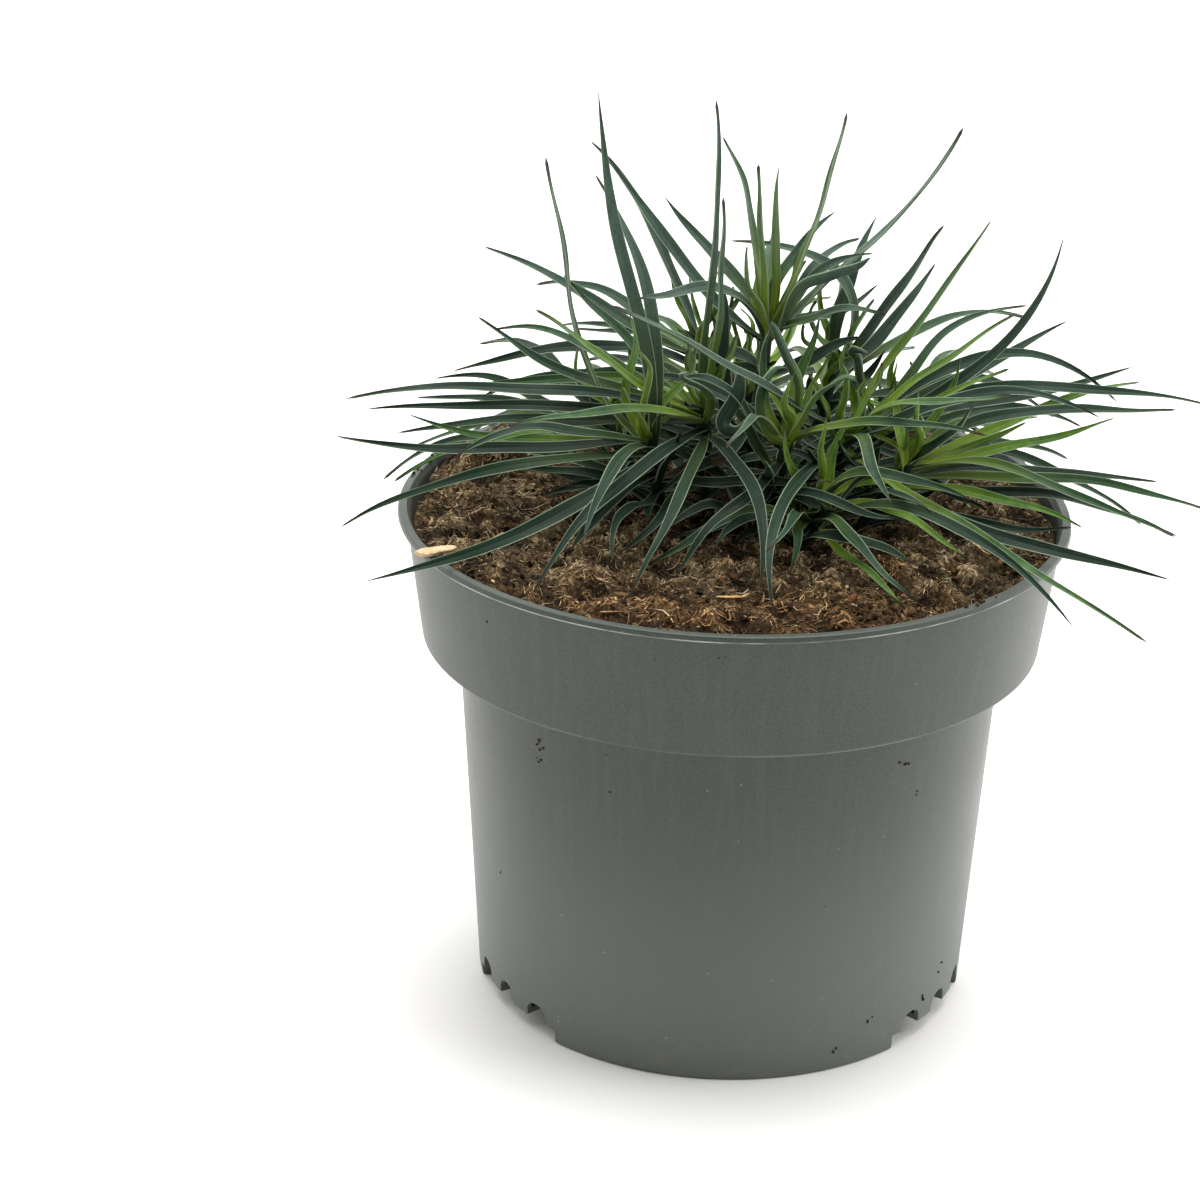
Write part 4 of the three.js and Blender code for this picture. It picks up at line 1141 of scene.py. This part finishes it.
CHIP_LENGTH = 11.0
CHIP_WIDTH = 3.0
CHIP_THICKNESS = 1.3
CHIP_PLACE = (-71.5, -37.0)
CHIP_ANGLE = math.radians(24)
CHIP_STEPS = 34
CHIP_AROUND = 20
CHIP_RIDGES = 0.10
CHIP_GRAIN = 0.03
CHIP_POINTED = 0.75
CHIP_TAPER = 0.18
CHIP_THINNED = 0.55
CHIP_SQUARE = -0.7
CHIP_SLANT = 0.27
CHIP_BODY_SHARE = 0.94


def make_chip(material):
    """A split sliver of pale wood, torn to a slant at both ends."""
    random = np.random.default_rng(5)
    share = np.linspace(-1, 1, CHIP_STEPS)[:, None]
    angle = around_axis(CHIP_AROUND)[None, :]
    ridges = CHIP_RIDGES * random.normal(size=(1, CHIP_AROUND))
    grain = 1 + ridges + CHIP_GRAIN * random.normal(size=(CHIP_STEPS, CHIP_AROUND))
    half_width = CHIP_WIDTH / 2 * (1 - CHIP_POINTED * np.abs(share) ** 5) * (1 - CHIP_TAPER * share)
    square = np.maximum(np.abs(np.cos(angle)), np.abs(np.sin(angle))) ** CHIP_SQUARE
    across = half_width * np.cos(angle) * square * grain
    limit = CHIP_THICKNESS / 2
    rise = limit * np.sin(angle) * square * grain * (1 - CHIP_THINNED * np.abs(share) ** 6)
    slant = CHIP_SLANT * np.cos(angle) * np.sign(share) * share ** 8
    along = CHIP_LENGTH / 2 * share * CHIP_BODY_SHARE + slant
    x, y = turned(along, across, CHIP_ANGLE)
    height = np.clip(rise, -limit, limit) + POT_HEIGHT + CONTACT_GAP + limit
    points = np.stack([CHIP_PLACE[0] + x, CHIP_PLACE[1] + y, height], axis=-1).reshape(-1, 3)
    faces = tube_faces(CHIP_STEPS, CHIP_AROUND, turn_ends=True)
    piece = add_piece("chip_fine", points, faces, material, "wood_chip", sharp=CRUMB_SHARP)
    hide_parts("wood_chip")


# ---- Shoots ----

LEAF_STEPS = 28
SHORT_LEAF_STEPS = 16
RING_TOP = np.array((-1, -0.92, -0.7, -0.4, -0.13, 0, 0.13, 0.4, 0.7, 0.92, 1))
RING_UNDER = np.array((0.92, 0.6, 0.25, 0, -0.25, -0.6, -0.92))
EDGE_THICKNESS = 0.24
GROOVE_DEPTH = 0.05
GROOVE_HALF_WIDTH = 0.08
TROUGH_SHARPNESS = 1.15
KEEL_SHARPNESS = 1.3
LEAF_SHARP = 70
STEPS_TOWARDS_TIP = 1.12

# Waves along a leaf, as how far and how often: its spine sideways and out of its face, its width
# and its two edges.
LEAF_RIPPLES = ((0.4, 1.4), (0.3, 2.2), (0.05, 2.6), (0.4, 3.1), (0.4, 2.7))

STEM_STEPS = 18
STEM_AROUND = 14
STEM_NODE_SPACING = 6.0
STEM_TOP = 0.8
STEM_SLIM = 0.86
STEM_JOINT = 0.16
STEM_TAPER = 0.2
GOLDEN_TURN = 137.5

# A leaf whose tint is above this is dry.
DRY_TINT = 0.85

# Old leaves low on each stem and narrow young ones at its heart, which fill the dark middle.
OLD_LEAVES = 7
OLD_LEAF_LEVEL = (0.15, 0.8)
OLD_LEAF_LIFT = (-15, 70)
OLD_LEAF_REACH = (12, 15)
OLD_LEAF_AGE = (6, 3)
OLD_LEAF_CLEARANCE = 0.9
OLD_LEAF_ROUNDS = 4
HEART_LEAVES = 3
HEART_LEAF_LIFT = (48, 36)
HEART_LEAF_REACH = (9, 13)
HEART_LEAF_SHARE = 0.62

# Leaves by the middle that are curled, folded or bent: half width, age, and points along them.
CURLED_LEAVES = (
    (1.9, 8, ((0, -16, 167), (-1, -18, 161), (-4, -20, 156), (-3, -22, 154), (0, -21, 154),
              (3, -19, 158))),
    (1.3, 5, ((12, -16, 149), (8, -18, 151), (5, -19, 157), (5, -18, 163), (8, -15, 167),
              (11, -13, 167))),
    (1.3, 6, ((14, -14, 156), (14, -13, 163), (11, -11, 169), (8, -8, 175), (7, -6, 176))),
    (2.0, 9, ((-2, 0, 146), (-3, 2, 155), (-4, 2, 166), (-4, 3, 176), (-4, 4, 181))),
    (1.5, 7, ((10, 2, 171), (14, -2, 183), (21, -4, 187), (27, -6, 190), (30, -8, 193))),
    (1.4, 7, ((30, 0, 158), (29, 0, 165), (27, -2, 168), (31, -4, 168))),
)
CURL_CENTRE_Y = 40.0
leaf_random = np.random.default_rng(33)


def leaf_section(t, edge_left, edge_right):
    """Offsets across, from -1 to 1, and out of the upper face, of the ring at the shares t."""
    t, edge_left, edge_right = t[..., None], edge_left[..., None], edge_right[..., None]
    thin = TIP_THINNESS + (1 - TIP_THINNESS) * (1 - t)

    def edge(u):
        return LEAF_CHANNEL * thin * np.where(u < 0, edge_left, edge_right)

    groove = GROOVE_DEPTH * thin * np.exp(-(RING_TOP / GROOVE_HALF_WIDTH) ** 2)
    middle = LEAF_MIDRIB_THICKNESS * thin * MIDRIB_ABOVE
    keel = middle - LEAF_MIDRIB_THICKNESS * thin
    upper = middle + (edge(RING_TOP) - middle) * np.abs(RING_TOP) ** TROUGH_SHARPNESS - groove
    rim = edge(RING_UNDER) - EDGE_THICKNESS
    lower = keel + (rim - keel) * np.abs(RING_UNDER) ** KEEL_SHARPNESS
    return np.concatenate([RING_TOP, RING_UNDER]), np.concatenate([upper, lower], axis=2)


def leaf_rings(frames, widths, t, edges):
    """Ring points of leaves along their frames: place, across and out of the face."""
    point, across, upper = (rows[:, :, None] for rows in frames)
    u, rise = leaf_section(t, *edges)
    rings = point + across * (u * widths[..., None] / 2)[..., None] + upper * rise[..., None]
    return rings, np.broadcast_to(u, rise.shape)


def leaf_shapes(leaves, steps):
    """Ring points of every leaf, with slightly waved edges and an uneven spine."""
    count = len(leaves["width"])
    t = 1 - (1 - np.arange(steps) / steps) ** STEPS_TOWARDS_TIP
    point, _, across, upper, _ = leaf_frames(leaves, t)
    phase = leaf_random.random((count, len(LEAF_RIPPLES), 1))
    t = np.broadcast_to(t, (count, steps))
    swing = np.sin(math.pi * t)

    sideways, outwards, wider, left, right = (
        reach * np.sin(ROUND * (turns * t + phase[:, number]))
        for number, (reach, turns) in enumerate(LEAF_RIPPLES))
    point = point + across * (swing * sideways)[..., None]
    point = point + upper * (swing * outwards)[..., None]
    widths = leaf_widths(leaves, t[0]) * (1 + wider)
    edges = 1 + left, 1 + right
    rings, u = leaf_rings((point, across, upper), widths, t, edges)
    return rings, leaves["tip"], t, u


def leaf_faces(steps):
    """Faces of a leaf: a flat root, rings along it and a fan to its tip."""
    around = len(RING_TOP) + len(RING_UNDER)
    last, tip = (steps - 1) * around, steps * around
    fan = [[last + k, tip, last + (k + 1) % around] for k in range(around)]
    return [*strip_faces(steps, around).tolist(), list(range(around)), *fan]


def stem_shape(shoot):
    """A round stem, thicker at each joint that a pair of leaves grows from."""
    low = stem_point(shoot, STEM_BOTTOM)
    high = stem_point(shoot, shoot["heart"][2] + STEM_TOP)
    share = np.linspace(0, 1, STEM_STEPS)[:, None]
    axis = low + (high - low) * share
    joint = np.abs(np.sin(math.pi * axis[:, 2:] / STEM_NODE_SPACING)) ** 6
    radius = STEM_RADIUS * (STEM_SLIM + STEM_JOINT * joint) * (1 - STEM_TAPER * share)
    x, y = turned(radius, 0, around_axis(STEM_AROUND))
    points = axis[:, None] + np.stack([x, y, np.zeros_like(x)], axis=-1)
    return points.reshape(-1, 3), tube_faces(STEM_STEPS, STEM_AROUND)


def short_leaves():
    """The old leaves low on the stems and the narrow young leaves at the hearts."""
    random = seeded_random(RANDOM_SEED)
    leaves = []
    for index, shoot in enumerate(SHOOTS):
        rows = []
        for i in range(OLD_LEAVES + HEART_LEAVES):
            is_old = i < OLD_LEAVES
            direction = shoot["filler"][1] + GOLDEN_TURN * i
            lift = within(OLD_LEAF_LIFT if is_old else HEART_LEAF_LIFT, random())
            reach = within(OLD_LEAF_REACH if is_old else HEART_LEAF_REACH, random())
            age = within(OLD_LEAF_AGE, random()) if is_old else random()
            level = within(OLD_LEAF_LEVEL, random()) if is_old else 1
            x, y, z, *rest = row_towards(shoot, direction, lift, reach, 0, age)
            drop = (shoot["heart"][2] - FOOT_HEIGHT) * (1 - level)
            rows.append((x, y, z - drop, *rest, level))
        for order, row in enumerate(rows):
            leaf = make_leaf(shoot, index, row, order, random)
            leaf["width"] *= 1 if order < OLD_LEAVES else HEART_LEAF_SHARE
            leaves.append(leaf)
    leaves = as_table(leaves)
    for _ in range(OLD_LEAF_ROUNDS):
        missing = np.maximum(sinking(leaf_boxes(leaves)["point"], OLD_LEAF_CLEARANCE), 0)
        leaves["bend"][:, 2] += missing.max(axis=1)
        leaves["tip"][:, 2] += missing[:, -1]
    return leaves


class LeafMesh:
    """Shapes and numbers of the leaves and the stem that make up one piece."""

    def __init__(self):
        self.shapes = []
        self.numbers = {key: [] for key in ("along", "across", "age", "tint")}

    def add(self, points, faces, **numbers):
        self.shapes.append((points, faces))
        for key, value in numbers.items():
            self.numbers[key].append(np.broadcast_to(value, len(points)))

    def add_leaves(self, shapes, ages, most_tint):
        steps, around = shapes[0].shape[1:3]
        faces = leaf_faces(steps)
        for ring, tip, share, side, age in zip(*shapes, ages):
            self.add(
                np.concatenate([ring.reshape(-1, 3), tip[None]]), faces,
                along=np.append(np.repeat(share, around), 1.0),
                across=np.append(side.ravel(), 0.0), age=age,
                tint=most_tint * leaf_random.random())

    def finish(self, name, material):
        values = {key: np.concatenate(parts) for key, parts in self.numbers.items()}
        return add_piece(name, *joined(self.shapes), material, "leaf", values, LEAF_SHARP)


def make_shoot(index, shoot, groups, material):
    """One leafy shoot: its stem and its leaves in one piece."""
    mesh = LeafMesh()
    # The stem takes the oldest colour, whose darkness is partly painted shade.
    mesh.add(*stem_shape(shoot), along=0.12, across=0.3, age=1.0, tint=0.5)
    for leaves, shapes, most_tint in groups:
        mine = leaves["shoot"] == index
        mesh.add_leaves([rows[mine] for rows in shapes], leaves["age"][mine], most_tint)
    piece = mesh.finish(shoot["name"].replace("shoot", "leaves"), material)
    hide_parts(shoot["name"])


def smooth_path(points, steps):
    """Points spaced along a smooth curve through the given ones."""
    points = np.array(points, float)
    points = np.concatenate([[2 * points[0] - points[1]], points, [2 * points[-1] - points[-2]]])
    place = np.linspace(0, len(points) - 3, steps)
    first = np.minimum(place.astype(int), len(points) - 4)
    u = (place - first)[:, None]
    a, b, c, d = (points[first + k] for k in range(4))
    return b + u * ((c - a) / 2 + u * (
        a - 2.5 * b + 2 * c - d / 2 + u * ((d - a) / 2 + 1.5 * (b - c))))


def make_curled_leaves(material):
    """The curled and folded leaves near the middle of the plant."""
    mesh = LeafMesh()
    steps = 2 * SHORT_LEAF_STEPS
    for half_width, age, corners in CURLED_LEAVES:
        path = smooth_path(corners, steps + 1)
        along = unit(np.gradient(path, axis=0))
        outward = np.array([corners[0][0], corners[0][1] - CURL_CENTRE_Y, 0])
        across = unit(np.cross(along, unit(outward)))
        t = np.arange(steps) / steps
        widths = 2 * half_width * np.minimum(1, 0.5 + 3 * t) * (1 - t ** 4)
        even = np.ones((1, steps))
        frames = [rows[None, :-1] for rows in (path, across, np.cross(along, across))]
        rings, u = leaf_rings(frames, widths[None], t[None], (even, even))
        mesh.add_leaves((rings, path[None, -1], t[None], u), [age / OLDEST], DRY_TINT)
    mesh.finish("curled_leaves", material)


# ---- Materials ----


def put(tree, socket, value):
    """Links a socket to another one or sets its value. None leaves it as it is."""
    if isinstance(value, bpy.types.NodeSocket):
        tree.links.new(value, socket)
    elif value is not None:
        is_colour = np.size(value) == 3 and len(socket.default_value) == 4
        socket.default_value = (*value, 1) if is_colour else value


def add_node(tree, kind, *values, **settings):
    """A node with its inputs set in order."""
    made = tree.nodes.new(kind)
    for key, value in settings.items():
        setattr(made, key, value)
    for socket, value in zip(made.inputs, values):
        put(tree, socket, value)
    return made


class Surface:
    """A procedural material, built from small steps that each give a socket."""

    def __init__(self, name, roughness, specular):
        self.material = bpy.data.materials.new(name)
        self.material.use_nodes = True
        self.tree = self.material.node_tree
        self.shader = self.tree.nodes["Principled BSDF"]
        self.set(self.shader, Roughness=roughness, Specular_IOR_Level=specular)

    def node(self, kind, *values, **settings):
        return add_node(self.tree, kind, *values, **settings)

    def set(self, node, **inputs):
        """Sets inputs of a node by name, with _ for a space. None leaves an input as it is."""
        for name, value in inputs.items():
            put(self.tree, node.inputs[name.replace("_", " ")], value)

    def sum(self, operation, *values, clamp=False):
        made = self.node("ShaderNodeMath", *values, operation=operation, use_clamp=clamp)
        return made.outputs[0]

    def plus(self, *values, clamp=False):
        return self.sum("ADD", *values, clamp=clamp)

    def times(self, *values):
        return self.sum("MULTIPLY", *values)

    def place(self):
        """Object coordinates in metres."""
        return self.node("ShaderNodeTexCoord").outputs["Object"]

    def value(self, name):
        return self.node("ShaderNodeAttribute", attribute_name=name).outputs["Fac"]

    def vector(self, x, y, z):
        return self.node("ShaderNodeCombineXYZ", x, y, z).outputs[0]

    def parts(self, vector):
        return self.node("ShaderNodeSeparateXYZ", vector).outputs

    def noise(self, vector, scale, detail=3.0, roughness=0.55):
        made = self.node("ShaderNodeTexNoise")
        self.set(made, Vector=vector, Scale=scale, Detail=detail, Roughness=roughness)
        return made.outputs["Fac"]

    def step(self, value, start, end, low=0.0, high=1.0):
        """A smooth step of a value from start to end."""
        return self.node(
            "ShaderNodeMapRange", value, start, end, low, high,
            interpolation_type="SMOOTHSTEP").outputs[0]

    def band(self, value, rise, fall, high=1.0):
        """A value that steps up over a rise and down again over a fall, in millimetres."""
        (start, up), (down, end) = rise, fall
        falling = self.step(value, end * MM, down * MM, 0.0, high)
        return self.times(self.step(value, start * MM, up * MM), falling)

    def mix(self, factor, first, second, blend="MIX"):
        made = self.node("ShaderNodeMix", data_type="RGBA", blend_type=blend)
        for index, value in ((0, factor), (6, first), (7, second)):
            put(self.tree, made.inputs[index], value)
        return made.outputs[2]

    def coat(self, colour, *coats):
        """A colour under coats of (share, colour), each over the one before."""
        for share, over in coats:
            colour = self.mix(share, colour, over)
        return colour

    def ramp(self, value, *stops):
        """A colour ramp with stops (place, colour)."""
        made = self.node("ShaderNodeValToRGB", value)
        points = made.color_ramp.elements
        while len(points) < len(stops):
            points.new(0.5)
        for point, (place, colour) in zip(points, stops):
            point.position = place
            point.color = (*colour, 1)
        return made.outputs[0]

    def finish(self, colour, roughness=None, height=None, distance=None, strength=None):
        self.set(self.shader, Base_Color=colour, Roughness=roughness)
        if height is not None:
            bumped = self.node("ShaderNodeBump")
            self.set(bumped, Strength=strength, Distance=distance, Height=height)
            self.set(self.shader, Normal=bumped.outputs[0])
        return self.material


MARGIN_GREEN = (0.300, 0.390, 0.250)
PAINTED_SHEEN_GREEN = (0.094, 0.143, 0.114)
DUSTY_GREEN = (0.021, 0.043, 0.030)
MOTTLE_GREEN = (0.008, 0.022, 0.012)
BASE_GREEN = (0.190, 0.280, 0.018)
TIP_BROWN = (0.075, 0.050, 0.046)
DRY_BROWN = (0.070, 0.046, 0.026)

# The colour of a blade by its age, from 0 to 1. The two oldest stops are darkened further as
# painted shade for the low leaves under the plant.
LEAF_AGES_WITH_SHADE = (
    (0.0, (0.135, 0.235, 0.016)), (0.2, (0.070, 0.158, 0.015)), (0.45, (0.022, 0.064, 0.018)),
    (0.72, (0.011, 0.031, 0.016)), (1.0, (0.006, 0.017, 0.010)),
)

# Painted sheen: leaves grow paler and greyer between these heights.
SHEEN_FROM = 148
SHEEN_TO = 195


def leaf_material():
    """Waxy blades: dark and dusty when old, yellow-green when young, with pale thin edges, a
    painted sheen on high leaves and painted shade on the oldest.
    """
    made = Surface("leaf", 0.46, 0.10)
    along, across, age, tint = (made.value(key) for key in ("along", "across", "age", "tint"))
    spread = made.sum("ABSOLUTE", across)
    shift = made.times(tint, 61.0)
    veins = made.noise(made.vector(
        made.sum("MULTIPLY_ADD", across, 5.5, shift), made.times(along, 3.0), shift), 1.0, 2.0)
    blotch = made.noise(made.place(), 300.0)
    mottle = made.noise(made.place(), 1000.0, 2.0)
    years = made.plus(
        made.plus(age, made.step(blotch, 0.3, 0.7, -0.06, 0.06)),
        made.step(tint, 0.0, 1.0, -0.05, 0.05))
    height = made.parts(made.place())[2]
    body = made.coat(
        made.ramp(years, *LEAF_AGES_WITH_SHADE),
        # Painted sheen on the high leaves.
        (made.step(height, SHEEN_FROM * MM, SHEEN_TO * MM, 0.0, 0.6), PAINTED_SHEEN_GREEN),
        (made.times(made.step(blotch, 0.4, 0.75), made.step(age, 0.2, 0.9, 0.05, 0.35)),
         DUSTY_GREEN),
        (made.step(veins, 0.4, 0.7, 0.0, 0.05), MARGIN_GREEN),
        (made.step(mottle, 0.5, 0.8, 0.0, 0.4), MOTTLE_GREEN),
        (made.times(made.step(along, 0.60, 0.06), made.step(age, 0.95, 0.15)), BASE_GREEN),
        (made.times(made.step(spread, 0.10, 0.03), made.step(age, 0.7, 0.0, 0.03, 0.30)),
         MARGIN_GREEN))
    margin = made.times(made.step(spread, 0.85, 0.91), made.step(along, 1.0, 0.85, 0.1, 0.85))
    body = made.coat(
        body,
        (margin, made.mix(0.2, MARGIN_GREEN, body)),
        (made.times(made.step(tint, 0.0, 0.8, 0.4, 1.0), made.step(along, 0.9, 0.985)),
         TIP_BROWN),
        (made.times(
            made.step(tint, DRY_TINT, DRY_TINT + 0.03), made.step(age, 0.75, 0.9, 0.0, 0.75)),
         DRY_BROWN))
    relief = made.sum("MULTIPLY_ADD", veins, 0.8, made.times(mottle, 0.25))
    return made.finish(body, made.step(blotch, 0.3, 0.7, 0.40, 0.56), relief, 0.00012, 0.55)


PLASTIC = (0.043, 0.052, 0.044)
PLASTIC_CLOUD = (0.051, 0.061, 0.052)
PAINTED_FLOOR_LIGHT = (0.160, 0.178, 0.158)
PALE_GRAIN = (0.096, 0.104, 0.091)
PALE_STREAK = (0.104, 0.109, 0.096)
PAINTED_EDGE_HIGHLIGHT = (0.42, 0.43, 0.39)
POT_DUST = (0.20, 0.17, 0.13)
PALE_SPECK = (0.36, 0.36, 0.33)

# The painted floor light, a paler colour for light thrown up from the floor, is strongest at the
# ground and ends at a height, and so is the dust.
FLOOR_LIGHT_TOP = 85
DUST_TOP = 30

# Bands of painted highlight along the lip and the collar's lower edge: the heights of the rise and
# the fall, and from which radius.
LIP_HIGHLIGHT_BAND = ((125.35, 125.55), (125.75, 125.95))
LIP_OUTSIDE = (82.2, 82.6)
COLLAR_HIGHLIGHT_BAND = ((94.4, 94.6), (95.0, 95.3))
COLLAR_OUTSIDE = (76.4, 76.8)


def pot_material():
    """Thin moulded recycled plastic, satin, with a painted highlight along its edges, painted floor
    light low on its wall and a little dust.
    """
    made = Surface("pot_plastic", 0.42, 0.30)
    place = made.place()
    x, y, z = made.parts(place)[:3]
    radius = made.sum("SQRT", made.plus(made.times(x, x), made.times(y, y)))
    cloud = made.noise(place, 22.0)
    grain = made.noise(place, 1700.0, 2.0)
    peel = made.noise(place, 620.0, 2.0)
    streak = made.noise(made.vector(
        made.times(x, 420.0), made.times(y, 420.0), made.times(z, 14.0)), 1.0)

    def beyond(edge):
        return made.step(radius, edge[0] * MM, edge[1] * MM)

    # Painted highlight along the lip and the collar's lower edge, broken up in patches.
    edge_highlight = made.plus(
        made.times(made.band(z, *LIP_HIGHLIGHT_BAND), beyond(LIP_OUTSIDE)),
        made.times(made.band(z, *COLLAR_HIGHLIGHT_BAND, 0.14), beyond(COLLAR_OUTSIDE)))
    patchy = made.step(made.noise(place, 60.0), 0.35, 0.6, 0.15, 0.9)
    dust = made.step(made.noise(place, 240.0, 4.0, 0.7), 0.52, 0.7)
    shifted = made.node("ShaderNodeVectorMath", place, (0.37, 0.37, 0.37), operation="ADD")
    specks = made.noise(shifted.outputs[0], 640.0, 1.0)
    colour = made.coat(
        PLASTIC,
        (made.step(cloud, 0.3, 0.7), PLASTIC_CLOUD),
        # Painted light: paler low on the wall, for the light thrown up from the floor.
        (made.step(z, FLOOR_LIGHT_TOP * MM, 0.0, 0.0, 0.75), PAINTED_FLOOR_LIGHT),
        (made.step(grain, 0.35, 0.7, 0.0, 0.25), PALE_GRAIN),
        (made.step(streak, 0.45, 0.75, 0.0, 0.14), PALE_STREAK),
        (made.times(edge_highlight, patchy), PAINTED_EDGE_HIGHLIGHT),
        (made.times(dust, made.step(z, DUST_TOP * MM, 0.0, 0.0, 0.35)), POT_DUST),
        (made.step(specks, 0.80, 0.815, 0.0, 0.45), PALE_SPECK))
    height = made.sum("MULTIPLY_ADD", peel, 0.7, made.times(grain, 0.35))
    return made.finish(colour, made.step(cloud, 0.25, 0.75, 0.36, 0.46), height, 0.00006, 0.5)


RUSTY = (1.12, 0.84, 0.60)
EARTH = (
    (0.0, (0.010, 0.007, 0.004)), (0.3, (0.048, 0.032, 0.016)), (0.55, (0.110, 0.076, 0.038)),
    (0.78, (0.31, 0.225, 0.12)), (1.0, (0.62, 0.50, 0.32)),
)
BARK = ((0.0, (0.014, 0.008, 0.005)), (0.4, (0.055, 0.025, 0.012)), (1.0, (0.22, 0.13, 0.065)))


def shaded_material(name, stops, roughness, grain_scale, grain_reach=0.12):
    """Earth and loose bits whose colour follows their own shade, with grain and stains."""
    made = Surface(name, roughness, 0.2)
    grain = made.noise(made.place(), grain_scale, 3.0, 0.65)
    stain = made.noise(made.place(), 160.0, 2.0)
    shade = made.plus(made.value("shade"), made.step(grain, 0.3, 0.7, -grain_reach, grain_reach))
    shade = made.plus(shade, made.step(stain, 0.3, 0.7, -0.12, 0.12), clamp=True)
    colour = made.ramp(shade, *stops)
    rusty = made.mix(1.0, colour, RUSTY, "MULTIPLY")
    colour = made.mix(made.step(made.value("tint"), 0.1, 0.9), colour, rusty)
    return made.finish(colour, None, grain, 0.0003, 0.7)


WOOD = ((0.25, (0.34, 0.20, 0.09)), (0.5, (0.62, 0.44, 0.25)), (0.75, (0.80, 0.66, 0.46)))
WOOD_STAIN = (0.20, 0.11, 0.05)


def wood_material():
    """Pale split softwood with fine fibres along the sliver."""
    made = Surface("wood_chip", 0.7, 0.3)
    x, y, z = made.parts(made.place())[:3]
    cosine, sine = math.cos(CHIP_ANGLE), math.sin(CHIP_ANGLE)
    along = made.plus(made.times(x, cosine), made.times(y, sine))
    across = made.sum("SUBTRACT", made.times(y, cosine), made.times(x, sine))
    fibre = made.noise(made.vector(
        made.times(along, 260.0), made.times(across, 3600.0), made.times(z, 3600.0)), 1.0)
    stain = made.step(made.noise(made.place(), 420.0, 2.0), 0.55, 0.75, 0.0, 0.6)
    colour = made.mix(stain, made.ramp(fibre, *WOOD), WOOD_STAIN)
    return made.finish(colour, None, fibre, 0.0002, 0.8)


def floor_material():
    made = Surface("floor", 0.75, 0.2)
    cloud = made.noise(made.place(), 3.0, 2.0)
    colour = made.mix(made.step(cloud, 0.3, 0.7), (0.90, 0.885, 0.87), (0.93, 0.92, 0.905))
    return made.finish(colour)


# ---- Stage ----

FLOOR_SIDE = 9.0

# Brightness of the studio from each side. The room behind the camera is dim, so the front of
# the pot is darker than its flanks. A ramp is the direction's part where it starts and ends.
SKY_FRONT = 0.08
SKY_AROUND = 1.70
SKY_ABOVE = 1.8
SKY_FRONT_RAMP = (-0.8, 0.25)
SKY_ABOVE_RAMP = (0.8, 1.0)
SKY_COLOUR = (1.0, 1.0, 0.985)

# Area lights: name, place in metres, side in metres, power in watts.
LIGHTS = (
    ("top_light", (0.1, 0.3, 1.9), 1.3, 34.0),
    ("side_light", (1.4, -0.1, 0.8), 0.9, 8.0),
)
AIM = (0.0, 0.0, 0.12)


def make_camera():
    camera = show("camera", bpy.data.cameras.new("camera"))
    camera.data.lens = LENS
    camera.data.sensor_width = SENSOR
    camera.data.clip_start = CLIP_START
    camera.data.clip_end = CLIP_END
    turn = Matrix.Rotation(math.radians(90 - CAMERA_DOWN), 4, "X")
    roll = Matrix.Rotation(math.radians(CAMERA_ROLL), 4, "Z")
    place = Matrix.Translation([value * MM for value in CAMERA_PLACE])
    camera.matrix_world = place @ turn @ roll
    bpy.context.scene.camera = camera


def make_sky():
    """A soft studio whose brightness depends on the direction alone."""
    world = bpy.data.worlds.new("studio")
    world.use_nodes = True
    tree = world.node_tree

    def ramp(*values):
        made = add_node(tree, "ShaderNodeMapRange", *values, interpolation_type="SMOOTHSTEP")
        return made.outputs[0]

    direction = add_node(tree, "ShaderNodeTexCoord").outputs["Generated"]
    _, y, z = add_node(tree, "ShaderNodeSeparateXYZ", direction).outputs
    around = ramp(y, *SKY_FRONT_RAMP, SKY_FRONT, SKY_AROUND)
    background = tree.nodes["Background"]
    put(tree, background.inputs["Color"], SKY_COLOUR)
    put(tree, background.inputs["Strength"], ramp(z, *SKY_ABOVE_RAMP, around, SKY_ABOVE))
    bpy.context.scene.world = world


def make_lights():
    for name, place, side, power in LIGHTS:
        light = show(name, bpy.data.lights.new(name, "AREA"))
        light.data.size = side
        light.data.energy = power
        light.location = place
        towards = light.location - Vector(AIM)
        light.rotation_euler = towards.to_track_quat("Z", "Y").to_euler()


def make_floor(material):
    half = FLOOR_SIDE / MM / 2
    corners = [(-half, -half, 0), (half, -half, 0), (half, half, 0), (-half, half, 0)]
    floor = show("floor", plain_mesh("floor", corners, [(0, 1, 2, 3)]))
    floor.data.materials.append(material)


# ---- The plant in its pot ----

bpy.context.scene.view_settings.view_transform = "Standard"
make_camera()
make_sky()
make_lights()
make_floor(floor_material())

make_pot(pot_material())
make_soil(shaded_material("soil_bed", EARTH, 0.95, 900.0, 0.24))
crumbs = shaded_material("soil_crumb", EARTH, 0.95, 1100.0)
dress_soil(
    shaded_material("soil_fibre", EARTH, 0.8, 1400.0), crumbs,
    shaded_material("soil_bark", BARK, 0.7, 1300.0))
dirty_pot(crumbs)
make_chip(wood_material())

leaves = cleared_leaves()
fillers = short_leaves()
groups = (
    (leaves, leaf_shapes(leaves, LEAF_STEPS), DRY_TINT),
    (fillers, leaf_shapes(fillers, SHORT_LEAF_STEPS), 1),
)
blade = leaf_material()
for index, shoot in enumerate(SHOOTS):
    make_shoot(index, shoot, groups, blade)
make_curled_leaves(blade)
